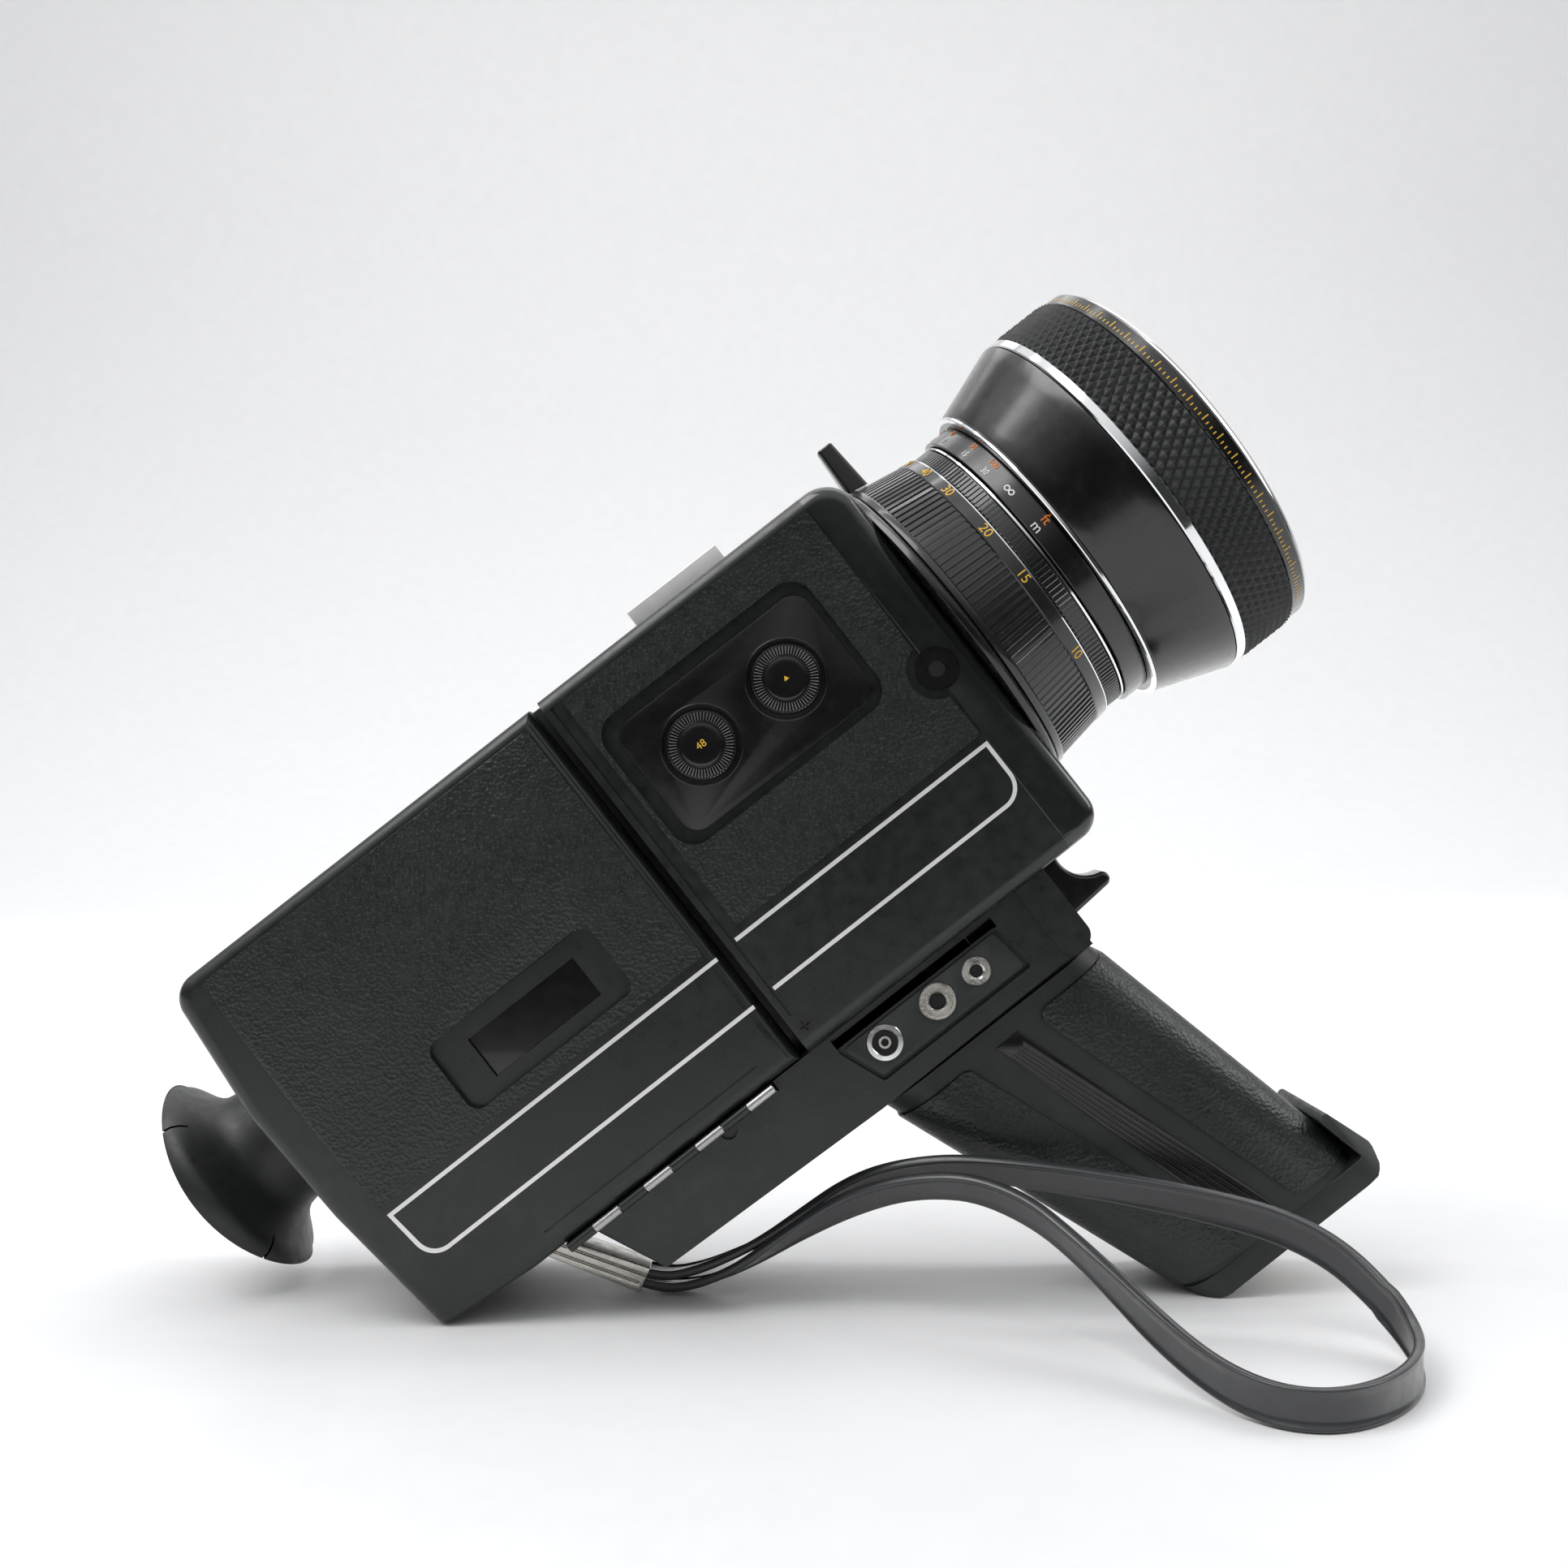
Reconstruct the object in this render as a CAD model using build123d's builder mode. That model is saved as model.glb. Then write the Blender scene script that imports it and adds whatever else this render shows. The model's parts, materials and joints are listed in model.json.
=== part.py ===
from build123d import *
from math import asin, atan2, cos, degrees, hypot, pi, radians, sin, tan
import os

# Super 8 reflex zoom cine camera with a pistol grip, resting nose up on a table.
#
# Every point is given in the camera's own level frame: u runs forward along the lens axis from
# the bezel's front face, v runs up from the lens axis, and y runs from the film door (negative)
# to the closed side (positive).  at() and the planes below turn that frame by the resting tilt,
# so that the rear bottom corner and the heel of the grip both stand on z = 0.

os.makedirs("parts", exist_ok=True)

# ---------------------------------------------------------------- driving dimensions (mm)
HALF_WIDTH = 30.4          # body, from the lens axis to either side
BODY_TOP = 42.2
BODY_BOTTOM = -52.8
WALL = 2.4
SKIN = 0.8                 # leatherette
FIT = 0.06                 # radial play of a turning piece in its bearing
GAP = 0.3                  # gap between pieces that move past each other

SEAM = -81.1               # joint between the film section and the front section
DOOR_FRONT = -83.2
DOOR_EDGE_Y = -18.0        # the film door is a pan whose rims reach this far in
REAR_EDGE = [(-181.0, BODY_TOP), (-184.0, 10.0), (-182.7, -18.0), (-178.87, -51.17)]
BOTTOM_KNEE = (-155.0, -53.1)
REAR_CORNER_R = 3.0
REAR_TOP_R = 6.0
SIDE_EDGE_R = 3.2          # rounding of the long edges of the body

BEZEL_BACK = -9.9
BASE_HALF = 27.0           # battery and socket housing under the body
BASE_BOTTOM = -72.2
BASE_REAR_TOP, BASE_REAR_FOOT = -141.7, -133.9
RIDGE_BACK, RIDGE_FRONT = -24.9, -17.1

GRIP_HALF = 18.5
GRIP_TOP = -74.0
GRIP_FOOT = -147.3         # joint between the grip shells and the grip's base
GRIP_EDGE_R = 9.0
HEEL_CORNER = (-44.0, -153.0)
HEEL_R = 6.0
SOLE = -153.0

EYE_V, EYE_Y = 2.4, 15.0   # finder axis
AXIS_TO_MIDDLE = 44.09     # bezel face ahead of the middle of the object's length

CHAMBER = (-174.5, -86.5, -40.0, 38.0)   # film chamber: u from, u to, v from, v to
CHAMBER_FLOOR = 7.5
GEAR_SPACE = (9.5, 28.0)   # y from, to, of the space behind the film chamber

ZOOM_BORE = 30.0           # outside of the fixed lens tube that the rings turn on
SPIGOT_R = 22.0            # the part of the lens tube inside the body
HINGE_V, HINGE_Y, KNUCKLE_R = -53.95, -29.1, 1.1
HINGE_START, KNUCKLE_PITCH, KNUCKLES = -147.0, 6.94, 8
HINGE_PIN_R = 0.5

STRIPE = 0.9               # width of the metal inlay lines
STRIPE_DEEP = 0.35

SPINDLE_U, SPINDLE_V, SPINDLE_R = -130.0, -16.0, 2.0
SHAFT_V, SHAFT_Y = -17.0, -5.0     # shutter shaft
MOTOR_V, MOTOR_Y = -36.0, 9.0
SHUTTER_PULLEY_R, MOTOR_PULLEY_R = 8.0, 4.0


# ---------------------------------------------------------------- the resting pose
def corner_centre(before, corner, after, radius):
    """Centre of the fillet of the given radius at a corner of an outline."""
    a = Vector(*before) - Vector(*corner)
    b = Vector(*after) - Vector(*corner)
    half = radians(a.get_angle(b)) / 2
    middle = a.normalized() + b.normalized()
    return Vector(*corner) + middle.normalized() * (radius / sin(half))


REAR_CENTRE = corner_centre(REAR_EDGE[2], REAR_EDGE[3], BOTTOM_KNEE, REAR_CORNER_R)
HEEL_CENTRE = corner_centre((-48.5, GRIP_FOOT), HEEL_CORNER, (0, SOLE), HEEL_R)
BETWEEN = HEEL_CENTRE - REAR_CENTRE
TILT = atan2(-BETWEEN.Y, BETWEEN.X) + asin((HEEL_R - REAR_CORNER_R) / hypot(BETWEEN.X, BETWEEN.Y))
AHEAD = Vector(cos(TILT), 0, sin(TILT))
UPWARD = Vector(-sin(TILT), 0, cos(TILT))
AXIS_HEIGHT = REAR_CORNER_R - REAR_CENTRE.X * sin(TILT) - REAR_CENTRE.Y * cos(TILT)
MOUTH = Vector(AXIS_TO_MIDDLE, 0, AXIS_HEIGHT)   # lens axis at the bezel's front face


def at(u, v, y=0.0):
    return MOUTH + AHEAD * u + UPWARD * v + Vector(0, y, 0)


def side_plane(y):
    """Level side view: local x is u, local y is v, and the normal points out of the film door."""
    return Plane(origin=at(0, 0, y), x_dir=AHEAD, z_dir=(0, -1, 0))


def cross_plane(u, v=0.0, y=0.0):
    """Seen from the front: local x is y, local y is v, and the normal points ahead."""
    return Plane(origin=at(u, v, y), x_dir=(0, 1, 0), z_dir=AHEAD)


def top_plane(v):
    """Seen from above: local x is u, local y is y, and the normal points up."""
    return Plane(origin=at(0, v, 0), x_dir=AHEAD, z_dir=UPWARD)


LENS_AXIS = Axis(at(0, 0), AHEAD)


# ---------------------------------------------------------------- helpers used inside BuildPart
def slab(outline, y_near, y_far, corner=0.0, mode=Mode.ADD):
    """A flat piece with a side-view outline of (u, v) points, from y_near to y_far."""
    with BuildSketch(side_plane(y_far)) as profile:
        with BuildLine():
            Polyline(*outline, close=True)
        make_face()
        if corner:
            fillet(profile.vertices(), corner)
    return extrude(profile.sketch, amount=y_far - y_near, mode=mode)


def block(u0, u1, v0, v1, y_near, y_far, corner=0.0, mode=Mode.ADD):
    outline = [(u0, v0), (u1, v0), (u1, v1), (u0, v1)]
    return slab(outline, y_near, y_far, corner, mode)


def rod(u0, u1, radius, v=0.0, y=0.0, mode=Mode.ADD):
    """A cylinder along the lens direction."""
    with BuildSketch(cross_plane(u0, v, y)) as profile:
        Circle(radius)
    return extrude(profile.sketch, amount=u1 - u0, mode=mode)


def pin(u, v, y_near, y_far, radius, mode=Mode.ADD):
    """A cylinder across the camera."""
    with BuildSketch(side_plane(y_far)) as profile:
        with Locations((u, v)):
            Circle(radius)
    return extrude(profile.sketch, amount=y_far - y_near, mode=mode)


def turned(points, v=0.0, y=0.0, mode=Mode.ADD):
    """A turned piece: (u, radius) points revolved about a line along the lens direction."""
    with BuildSketch(Plane(origin=at(0, v, y), x_dir=AHEAD, z_dir=(0, -1, 0))) as profile:
        with BuildLine():
            Polyline(*points, close=True)
        make_face()
    return revolve(profile.sketch, axis=Axis(at(0, v, y), AHEAD), mode=mode)


def keep(builder, name):
    """Label a finished piece and write it."""
    builder.part.label = name
    export_step(builder.part, f"parts/{name}.step")


def rear_outline(inset, front):
    """Side view of the film section, drawn in by inset and cut off at front."""
    (tu, tv), (mu, mv), (lu, lv), (bu, bv) = REAR_EDGE
    return [(front, tv - inset), (tu + inset, tv - inset), (mu + inset, mv), (lu + inset, lv),
            (bu + inset, bv + inset), (BOTTOM_KNEE[0], BOTTOM_KNEE[1] + inset),
            (front, BODY_BOTTOM + inset)]


# ================================================================ film section
with BuildPart() as rear_housing:
    with BuildSketch(side_plane(HALF_WIDTH)) as outline:
        with BuildLine():
            Polyline(*rear_outline(0, SEAM - GAP), close=True)
        make_face()
        fillet(outline.vertices().sort_by_distance(REAR_EDGE[3])[0], REAR_CORNER_R)
        fillet(outline.vertices().sort_by_distance(REAR_EDGE[0])[0], REAR_TOP_R)
    extrude(amount=HALF_WIDTH - DOOR_EDGE_Y - GAP)
    fillet(rear_housing.faces().sort_by(Axis.Y)[-1].edges(), SIDE_EDGE_R)
    c = CHAMBER
    block(c[0], c[1], c[2], c[3], DOOR_EDGE_Y, CHAMBER_FLOOR, 3, Mode.SUBTRACT)
    block(-178, SEAM, -49.5, 38.6, GEAR_SPACE[0], GEAR_SPACE[1], 0, Mode.SUBTRACT)
    block(-88, SEAM, -11, 11, -8.5, 8.5, 0, Mode.SUBTRACT)
    rod(-190, SEAM, 6.7, EYE_V, EYE_Y, Mode.SUBTRACT)
    pin(SPINDLE_U, SPINDLE_V, 5, 12, SPINDLE_R + FIT, Mode.SUBTRACT)
    block(-190, -180.3, 22, 36, -12.5, 4, 0, Mode.SUBTRACT)       # latch pocket
keep(rear_housing, "rear_housing")

DOOR_SIDE = -HALF_WIDTH
WINDOW_RECESS = (-144.7, -101.3, -19.0, -1.4)
WINDOW = (-136.6, -108.2, -15.5, -5.5)


def door_stripe_face(inset):
    """Side view of the area inside the door's stripe line, open towards the seam."""
    lean = 0.1
    return [(-84.0, -24.3 - inset), (-172.8 + inset * (1 + lean), -24.3 - inset),
            (-171.4 + inset * (1 + lean), -38.05 + inset), (-84.0, -38.05 + inset)]


def front_stripe_face(inset):
    return [(-78.4, -23.5 - inset), (-9.95 - inset, -23.5 - inset),
            (-9.95 - inset, -37.55 + inset), (-78.4, -37.55 + inset)]


def stripe_line(face, round_corner, y_near, y_far, mode=Mode.ADD):
    """The metal inlay: a band around three sides of a face, with one corner rounded."""
    def area(inset):
        with BuildSketch(side_plane(y_far)) as sketch:
            with BuildLine():
                Polyline(*face(inset), close=True)
            make_face()
            fillet(sketch.vertices().sort_by_distance(round_corner)[0], 5.4 - inset)
        return sketch.sketch
    return extrude(area(0) - area(STRIPE), amount=y_far - y_near, mode=mode)


with BuildPart() as film_door:
    with BuildSketch(side_plane(DOOR_EDGE_Y)) as outline:
        with BuildLine():
            Polyline(*rear_outline(GAP, DOOR_FRONT), close=True)
        make_face()
        fillet(outline.vertices().sort_by_distance(REAR_EDGE[3])[0], REAR_CORNER_R)
        fillet(outline.vertices().sort_by_distance(REAR_EDGE[0])[0], REAR_TOP_R)
    extrude(amount=DOOR_EDGE_Y - DOOR_SIDE)
    fillet(film_door.faces().sort_by(Axis.Y)[0].edges(), SIDE_EDGE_R)
    slab(rear_outline(GAP + WALL, DOOR_FRONT - WALL), DOOR_SIDE + WALL, DOOR_EDGE_Y,
         0, Mode.SUBTRACT)
    block(*WINDOW_RECESS, DOOR_SIDE - 1, DOOR_SIDE + 1.2, 3, Mode.SUBTRACT)
    block(*WINDOW, DOOR_SIDE - 1, DOOR_SIDE + WALL, 0, Mode.SUBTRACT)
    stripe_line(door_stripe_face, (-171.4, -38.05), DOOR_SIDE - 1, DOOR_SIDE + STRIPE_DEEP,
                Mode.SUBTRACT)
    for groove_v in (-47.8, -51.0):                       # either side of the blank label band
        block(-148.7, -91.5, groove_v - 0.25, groove_v + 0.25, DOOR_SIDE - 1, DOOR_SIDE + 0.4,
              0, Mode.SUBTRACT)
    block(-85.0, -84.5, BODY_BOTTOM + 4, BODY_TOP - 3, DOOR_SIDE - 1, DOOR_SIDE + 0.5,
          0, Mode.SUBTRACT)
keep(film_door, "film_door")

with BuildPart() as door_leather:
    slab([(-85.8, 38.8), (-173.2, 38.8), (-174.4, 10), (-173.4, -22.4), (-85.8, -22.4)],
         DOOR_SIDE - SKIN, DOOR_SIDE, 1.2)
    block(*WINDOW_RECESS, DOOR_SIDE - SKIN, DOOR_SIDE, 3, Mode.SUBTRACT)
keep(door_leather, "door_leather")

with BuildPart() as door_window:
    block(WINDOW[0] - 2, WINDOW[1] + 2, WINDOW[2] - 2, WINDOW[3] + 2,
          DOOR_SIDE + WALL, DOOR_SIDE + WALL + 1, 1)
keep(door_window, "door_window")

with BuildPart() as door_stripe:
    stripe_line(door_stripe_face, (-171.4, -38.05), DOOR_SIDE - 0.05, DOOR_SIDE + STRIPE_DEEP)
keep(door_stripe, "door_stripe")


def knuckles(first):
    """Every second barrel of the piano hinge."""
    for i in range(first, KNUCKLES, 2):
        start = HINGE_START + i * KNUCKLE_PITCH
        rod(start + 0.1, start + KNUCKLE_PITCH - 0.1, KNUCKLE_R, HINGE_V, HINGE_Y)


LEAF = 0.5
HINGE_END = HINGE_START + KNUCKLES * KNUCKLE_PITCH
with BuildPart() as hinge_door_leaf:
    knuckles(0)
    block(HINGE_START + 0.1, HINGE_END, HINGE_V + KNUCKLE_R - LEAF, HINGE_V + KNUCKLE_R,
          HINGE_Y, DOOR_EDGE_Y - 1)
    for i in range(1, KNUCKLES, 2):                       # room for the other leaf's barrels
        start = HINGE_START + i * KNUCKLE_PITCH
        rod(start - 0.1, start + KNUCKLE_PITCH + 0.1, KNUCKLE_R + 0.2, HINGE_V, HINGE_Y,
            Mode.SUBTRACT)
    rod(HINGE_START - 1, HINGE_END + 1, HINGE_PIN_R + FIT, HINGE_V, HINGE_Y, Mode.SUBTRACT)
keep(hinge_door_leaf, "hinge_door_leaf")

with BuildPart() as hinge_body_leaf:
    knuckles(1)
    block(BASE_REAR_TOP + 2, HINGE_END, HINGE_V - KNUCKLE_R, HINGE_V - KNUCKLE_R + LEAF,
          HINGE_Y, -18)
    for i in range(0, KNUCKLES, 2):
        start = HINGE_START + i * KNUCKLE_PITCH
        rod(start - 0.1, start + KNUCKLE_PITCH + 0.1, KNUCKLE_R + 0.2, HINGE_V, HINGE_Y,
            Mode.SUBTRACT)
    rod(HINGE_START - 0.3, HINGE_END, HINGE_PIN_R, HINGE_V, HINGE_Y)
keep(hinge_body_leaf, "hinge_body_leaf")

with BuildPart() as door_latch:
    block(-182.9, -180.6, 24, 34, -11.5, -1.5)
    for rib in range(4):
        block(-183.3, -182.9, 26 + rib * 1.8, 26.7 + rib * 1.8, -10.5, -2.5)
keep(door_latch, "door_latch")

with BuildPart() as film_gate:
    block(-87.7, -86.5, -13.5, 13.5, -10, 7)
    block(-90, -84, -2.1, 2.1, -2.9, 2.9, 0, Mode.SUBTRACT)
    block(-90, -84, -5.2, 5.2, -6.6, -4.8, 0, Mode.SUBTRACT)
keep(film_gate, "film_gate")

with BuildPart() as film_claw:
    block(-88.4, -79.5, -0.9, 0.9, -6.1, -5.3)
    block(-84.5, -79.5, -5, 3, -6.1, -5.3)
keep(film_claw, "film_claw")

with BuildPart() as takeup_spindle:
    pin(SPINDLE_U, SPINDLE_V, 3, 14, SPINDLE_R)
    with BuildSketch(side_plane(7.0)) as vanes:
        with Locations((SPINDLE_U, SPINDLE_V)):
            with PolarLocations(0, 3):
                Rectangle(9.2, 1.4)
    extrude(vanes.sketch, amount=4.0)
    pin(SPINDLE_U, SPINDLE_V, 11, 13, 9)
keep(takeup_spindle, "takeup_spindle")


# ================================================================ front section
LEATHER_REAR, LEATHER_FRONT, LEATHER_LOW, LEATHER_HIGH = -76.3, -10.2, -21.6, 38.9
DIAL_RECESS = (-75.1, -19.9, -3.5, 30.2)
DIAL_PLATE = (-72.0, -21.6, -1.4, 27.2)
DIALS = {"speed_dial": -58.5, "mode_dial": -35.6}
DIAL_V = 13.3
DIAL_R, DIAL_CAP_R = 7.4, 4.5
RELEASE_U, RELEASE_V, RELEASE_R, RELEASE_HOLE_R = -9.0, -4.8, 4.6, 1.8
SCREW_R = 1.8
SCREWS = [(-78.0, -47.4, -1), (-78.0, -47.4, 1), (-14.5, -47.4, 1), (-14.5, 37.0, 1)]

with BuildPart() as front_housing:
    with BuildSketch(cross_plane(SEAM + GAP)) as section:
        with Locations((0, (BODY_TOP + BODY_BOTTOM) / 2)):
            RectangleRounded(2 * HALF_WIDTH, BODY_TOP - BODY_BOTTOM, SIDE_EDGE_R)
    extrude(amount=BEZEL_BACK - SEAM - GAP)
    with BuildSketch(cross_plane(SEAM - 1)) as hollow:
        with Locations((0, (BODY_TOP + BODY_BOTTOM) / 2)):
            RectangleRounded(2 * (HALF_WIDTH - WALL), BODY_TOP - BODY_BOTTOM - 2 * WALL, 1)
    extrude(amount=80, mode=Mode.SUBTRACT)
    block(*DIAL_RECESS, -HALF_WIDTH - 1, -HALF_WIDTH + 1.4, 5.5, Mode.SUBTRACT)
    for dial_u in DIALS.values():
        pin(dial_u, DIAL_V, -HALF_WIDTH, -20, 2.5 + FIT, Mode.SUBTRACT)
    stripe_line(front_stripe_face, (-9.95, -37.55), DOOR_SIDE - 1, DOOR_SIDE + STRIPE_DEEP,
                Mode.SUBTRACT)
    pin(RELEASE_U, RELEASE_V, -40, -20, RELEASE_R, Mode.SUBTRACT)
    for screw_u, screw_v, side in SCREWS:
        pin(screw_u, screw_v, side * 29.3 - 1.2, side * 29.3 + 1.2, SCREW_R, Mode.SUBTRACT)
    block(-79.2, -78.7, BODY_BOTTOM + 9, BODY_TOP - 3, DOOR_SIDE - 1, DOOR_SIDE + 0.5,
          0, Mode.SUBTRACT)
keep(front_housing, "front_housing")

with BuildPart() as front_leather:
    block(LEATHER_REAR, LEATHER_FRONT, LEATHER_LOW, LEATHER_HIGH, DOOR_SIDE - SKIN, DOOR_SIDE, 1.2)
    block(*DIAL_RECESS, DOOR_SIDE - SKIN, DOOR_SIDE, 5.5, Mode.SUBTRACT)
    pin(RELEASE_U, RELEASE_V, DOOR_SIDE - SKIN, DOOR_SIDE, 6.5, Mode.SUBTRACT)
keep(front_leather, "front_leather")

with BuildPart() as front_stripe:
    stripe_line(front_stripe_face, (-9.95, -37.55), DOOR_SIDE - 0.05, DOOR_SIDE + STRIPE_DEEP)
keep(front_stripe, "front_stripe")

with BuildPart() as closed_side_leather:
    block(-173.0, -85.0, LEATHER_LOW, LEATHER_HIGH - 0.5, HALF_WIDTH, HALF_WIDTH + SKIN, 1.2)
    block(LEATHER_REAR, LEATHER_FRONT, LEATHER_LOW, LEATHER_HIGH, HALF_WIDTH, HALF_WIDTH + SKIN, 1.2)
keep(closed_side_leather, "closed_side_leather")

BEZEL_TOP_R, BEZEL_LOW_R = 8.0, 6.0
with BuildPart() as front_bezel:
    with BuildSketch(side_plane(HALF_WIDTH)) as outline:
        with BuildLine():
            Polyline((BEZEL_BACK, BODY_TOP), (0, BODY_TOP), (0, BODY_BOTTOM),
                     (BEZEL_BACK, BODY_BOTTOM), close=True)
        make_face()
        fillet(outline.vertices().sort_by_distance((0, BODY_TOP))[0], BEZEL_TOP_R)
        fillet(outline.vertices().sort_by_distance((0, BODY_BOTTOM))[0], BEZEL_LOW_R)
    extrude(amount=2 * HALF_WIDTH)
    rims = (front_bezel.faces().sort_by(Axis.Y)[0].edges()
            + front_bezel.faces().sort_by(Axis.Y)[-1].edges())
    fillet(rims.filter_by(lambda e: (e.center() - at(BEZEL_BACK, 0)).dot(AHEAD) > 0.5), SIDE_EDGE_R)
    rod(-20, 5, SPIGOT_R, mode=Mode.SUBTRACT)
    pin(RELEASE_U, RELEASE_V, -40, -20, RELEASE_R, Mode.SUBTRACT)
keep(front_bezel, "front_bezel")

with BuildPart() as dial_plate:
    block(*DIAL_PLATE, -29.8, -29.0, 4.3)
    for dial_u in DIALS.values():
        pin(dial_u, DIAL_V, -31, -28, 2.5 + FIT, Mode.SUBTRACT)
        with BuildSketch(side_plane(-29.8)) as well_lip:
            with Locations((dial_u, DIAL_V)):
                Circle(8.9)
                Circle(8.3, mode=Mode.SUBTRACT)
        extrude(well_lip.sketch, amount=0.4)
keep(dial_plate, "dial_plate")

RIBS = 48
for name, dial_u in DIALS.items():
    with BuildPart() as dial:
        pin(dial_u, DIAL_V, -31.6, -30.0, DIAL_R)
        pin(dial_u, DIAL_V, -30.0, -24.0, 2.5)
        with BuildSketch(side_plane(-31.6)) as grooves:
            with Locations((dial_u, DIAL_V)):
                with PolarLocations((DIAL_R + DIAL_CAP_R) / 2 + 0.2, RIBS):
                    Rectangle(DIAL_R - DIAL_CAP_R - 0.2, 0.32)
        extrude(grooves.sketch, amount=-0.35, mode=Mode.SUBTRACT)
    keep(dial, name)

with BuildPart() as cable_release_socket:
    pin(RELEASE_U, RELEASE_V, -HALF_WIDTH - 0.6, -23, RELEASE_R)
    pin(RELEASE_U, RELEASE_V, -HALF_WIDTH - 0.6, -25, RELEASE_HOLE_R, Mode.SUBTRACT)
keep(cable_release_socket, "cable_release_socket")

SHOE_U, SHOE_LONG, SHOE_HALF, SLOT_HALF = -53.8, 25.0, 11.3, 9.3
with BuildPart() as accessory_shoe:
    with BuildSketch(cross_plane(SHOE_U)) as rails:
        with BuildLine():
            Polyline((-SHOE_HALF, BODY_TOP), (SHOE_HALF, BODY_TOP), (SHOE_HALF, BODY_TOP + 5.4),
                     (6.4, BODY_TOP + 5.4), (6.4, BODY_TOP + 4.0), (SLOT_HALF, BODY_TOP + 4.0),
                     (SLOT_HALF, BODY_TOP + 1.6), (-SLOT_HALF, BODY_TOP + 1.6),
                     (-SLOT_HALF, BODY_TOP + 4.0), (-6.4, BODY_TOP + 4.0),
                     (-6.4, BODY_TOP + 5.4), (-SHOE_HALF, BODY_TOP + 5.4), close=True)
        make_face()
    extrude(amount=SHOE_LONG)
keep(accessory_shoe, "accessory_shoe")

with BuildPart() as body_screws:
    for screw_u, screw_v, side in SCREWS:
        flush = side * HALF_WIDTH
        pin(screw_u, screw_v, min(flush, flush - side * 2.2), max(flush, flush - side * 2.2), SCREW_R)
        for long_u, long_v in ((1.1, 0.22), (0.22, 1.1)):
            block(screw_u - long_u, screw_u + long_u, screw_v - long_v, screw_v + long_v,
                  min(flush, flush - side * 0.7), max(flush, flush - side * 0.7), 0, Mode.SUBTRACT)
keep(body_screws, "body_screws")


# ================================================================ housing under the body
JACK_RECESS = [(-76.5, -56.1), (-72.0, -67.8), (-31.7, -67.8), (-33.2, -56.1)]
JACK_FACE = -BASE_HALF + 1.6
JACK_V = -61.4
POWER_U, EARPHONE_U, REMOTE_U = -66.9, -52.5, -41.9
EARPHONE_HOLE_R, REMOTE_HOLE_R = 1.8, 1.3
JACKS = [(POWER_U, 4.1), (EARPHONE_U, 4.1), (REMOTE_U, 3.2)]      # u and barrel radius
with BuildPart() as base_housing:
    slab([(BASE_REAR_TOP, BODY_BOTTOM - GAP), (BASE_REAR_FOOT, -70.4), (-76, BASE_BOTTOM),
          (RIDGE_BACK + 2, BASE_BOTTOM + 0.6), (RIDGE_BACK + 2, BODY_BOTTOM)],
         -BASE_HALF, BASE_HALF)
    fillet(base_housing.faces().sort_by(Axis.Y)[0].edges().sort_by(Axis.Z)[:1]
           + base_housing.faces().sort_by(Axis.Y)[-1].edges().sort_by(Axis.Z)[:1], 1.5)
    block(RIDGE_BACK, RIDGE_FRONT, -71.6, BODY_BOTTOM, -BASE_HALF - 0.9, BASE_HALF + 0.9, 3.3)
    block(RIDGE_BACK, RIDGE_FRONT, -58, BODY_BOTTOM, -BASE_HALF - 0.9, BASE_HALF + 0.9, 0)
    block(-77, -17.6, GRIP_TOP + 0.1, -71, -16.5, 16.5, 0)        # collar that the grip meets
    slab([(-133, -54.5), (-128, -68), (-28, -69), (-28, -54.5)], -24.6, 24.6, 0, Mode.SUBTRACT)
    block(-130, -30, -57, -50, -20, 20, 0, Mode.SUBTRACT)
    block(-31, -10, -68.6, -50, -6.0, 6.0, 0, Mode.SUBTRACT)      # way through for the trigger
    slab(JACK_RECESS, -BASE_HALF - 2, JACK_FACE, 1.0, Mode.SUBTRACT)
    block(-76.0, -32.5, -56.4, BODY_BOTTOM - 0.9, -BASE_HALF - 2, JACK_FACE + 1.2, 0, Mode.SUBTRACT)
    block(BASE_REAR_TOP - 2, HINGE_END + 0.4, HINGE_V - KNUCKLE_R - GAP, BODY_BOTTOM,
          -BASE_HALF - 2, -17.6, 0, Mode.SUBTRACT)
    pin(-105, -55.4, -BASE_HALF - 2, -BASE_HALF + 1, 2.0, Mode.SUBTRACT)
    for jack_u, jack_r in JACKS:
        pin(jack_u, JACK_V, -BASE_HALF - 2, -20, jack_r, Mode.SUBTRACT)
    block(-51, -48.2, -69.5, -55, -8, 8)                          # stop for the trigger's spring
keep(base_housing, "base_housing")

with BuildPart() as jack_panel:
    inner = [(-75.0, -57.2), (-71.4, -66.9), (-32.7, -66.9), (-34.0, -57.2)]
    slab(inner, JACK_FACE - 0.7, JACK_FACE, 1.0)
    for jack_u, jack_r in JACKS:
        pin(jack_u, JACK_V, -40, -20, jack_r, Mode.SUBTRACT)
keep(jack_panel, "jack_panel")

with BuildPart() as power_socket:
    pin(POWER_U, JACK_V, -26.4, -17.5, 4.1)
    pin(POWER_U, JACK_V, -26.4, -20.0, 2.75, Mode.SUBTRACT)
    pin(POWER_U, JACK_V, -25.9, -19.0, 1.0)
keep(power_socket, "power_socket")

for name, (jack_u, jack_r), hole_r in (("earphone_jack", JACKS[1], EARPHONE_HOLE_R),
                                       ("remote_jack", JACKS[2], REMOTE_HOLE_R)):
    with BuildPart() as jack:
        pin(jack_u, JACK_V, -26.6, -13.0, jack_r)
        pin(jack_u, JACK_V, -26.7, -14.0, hole_r, Mode.SUBTRACT)
    keep(jack, name)

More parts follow.
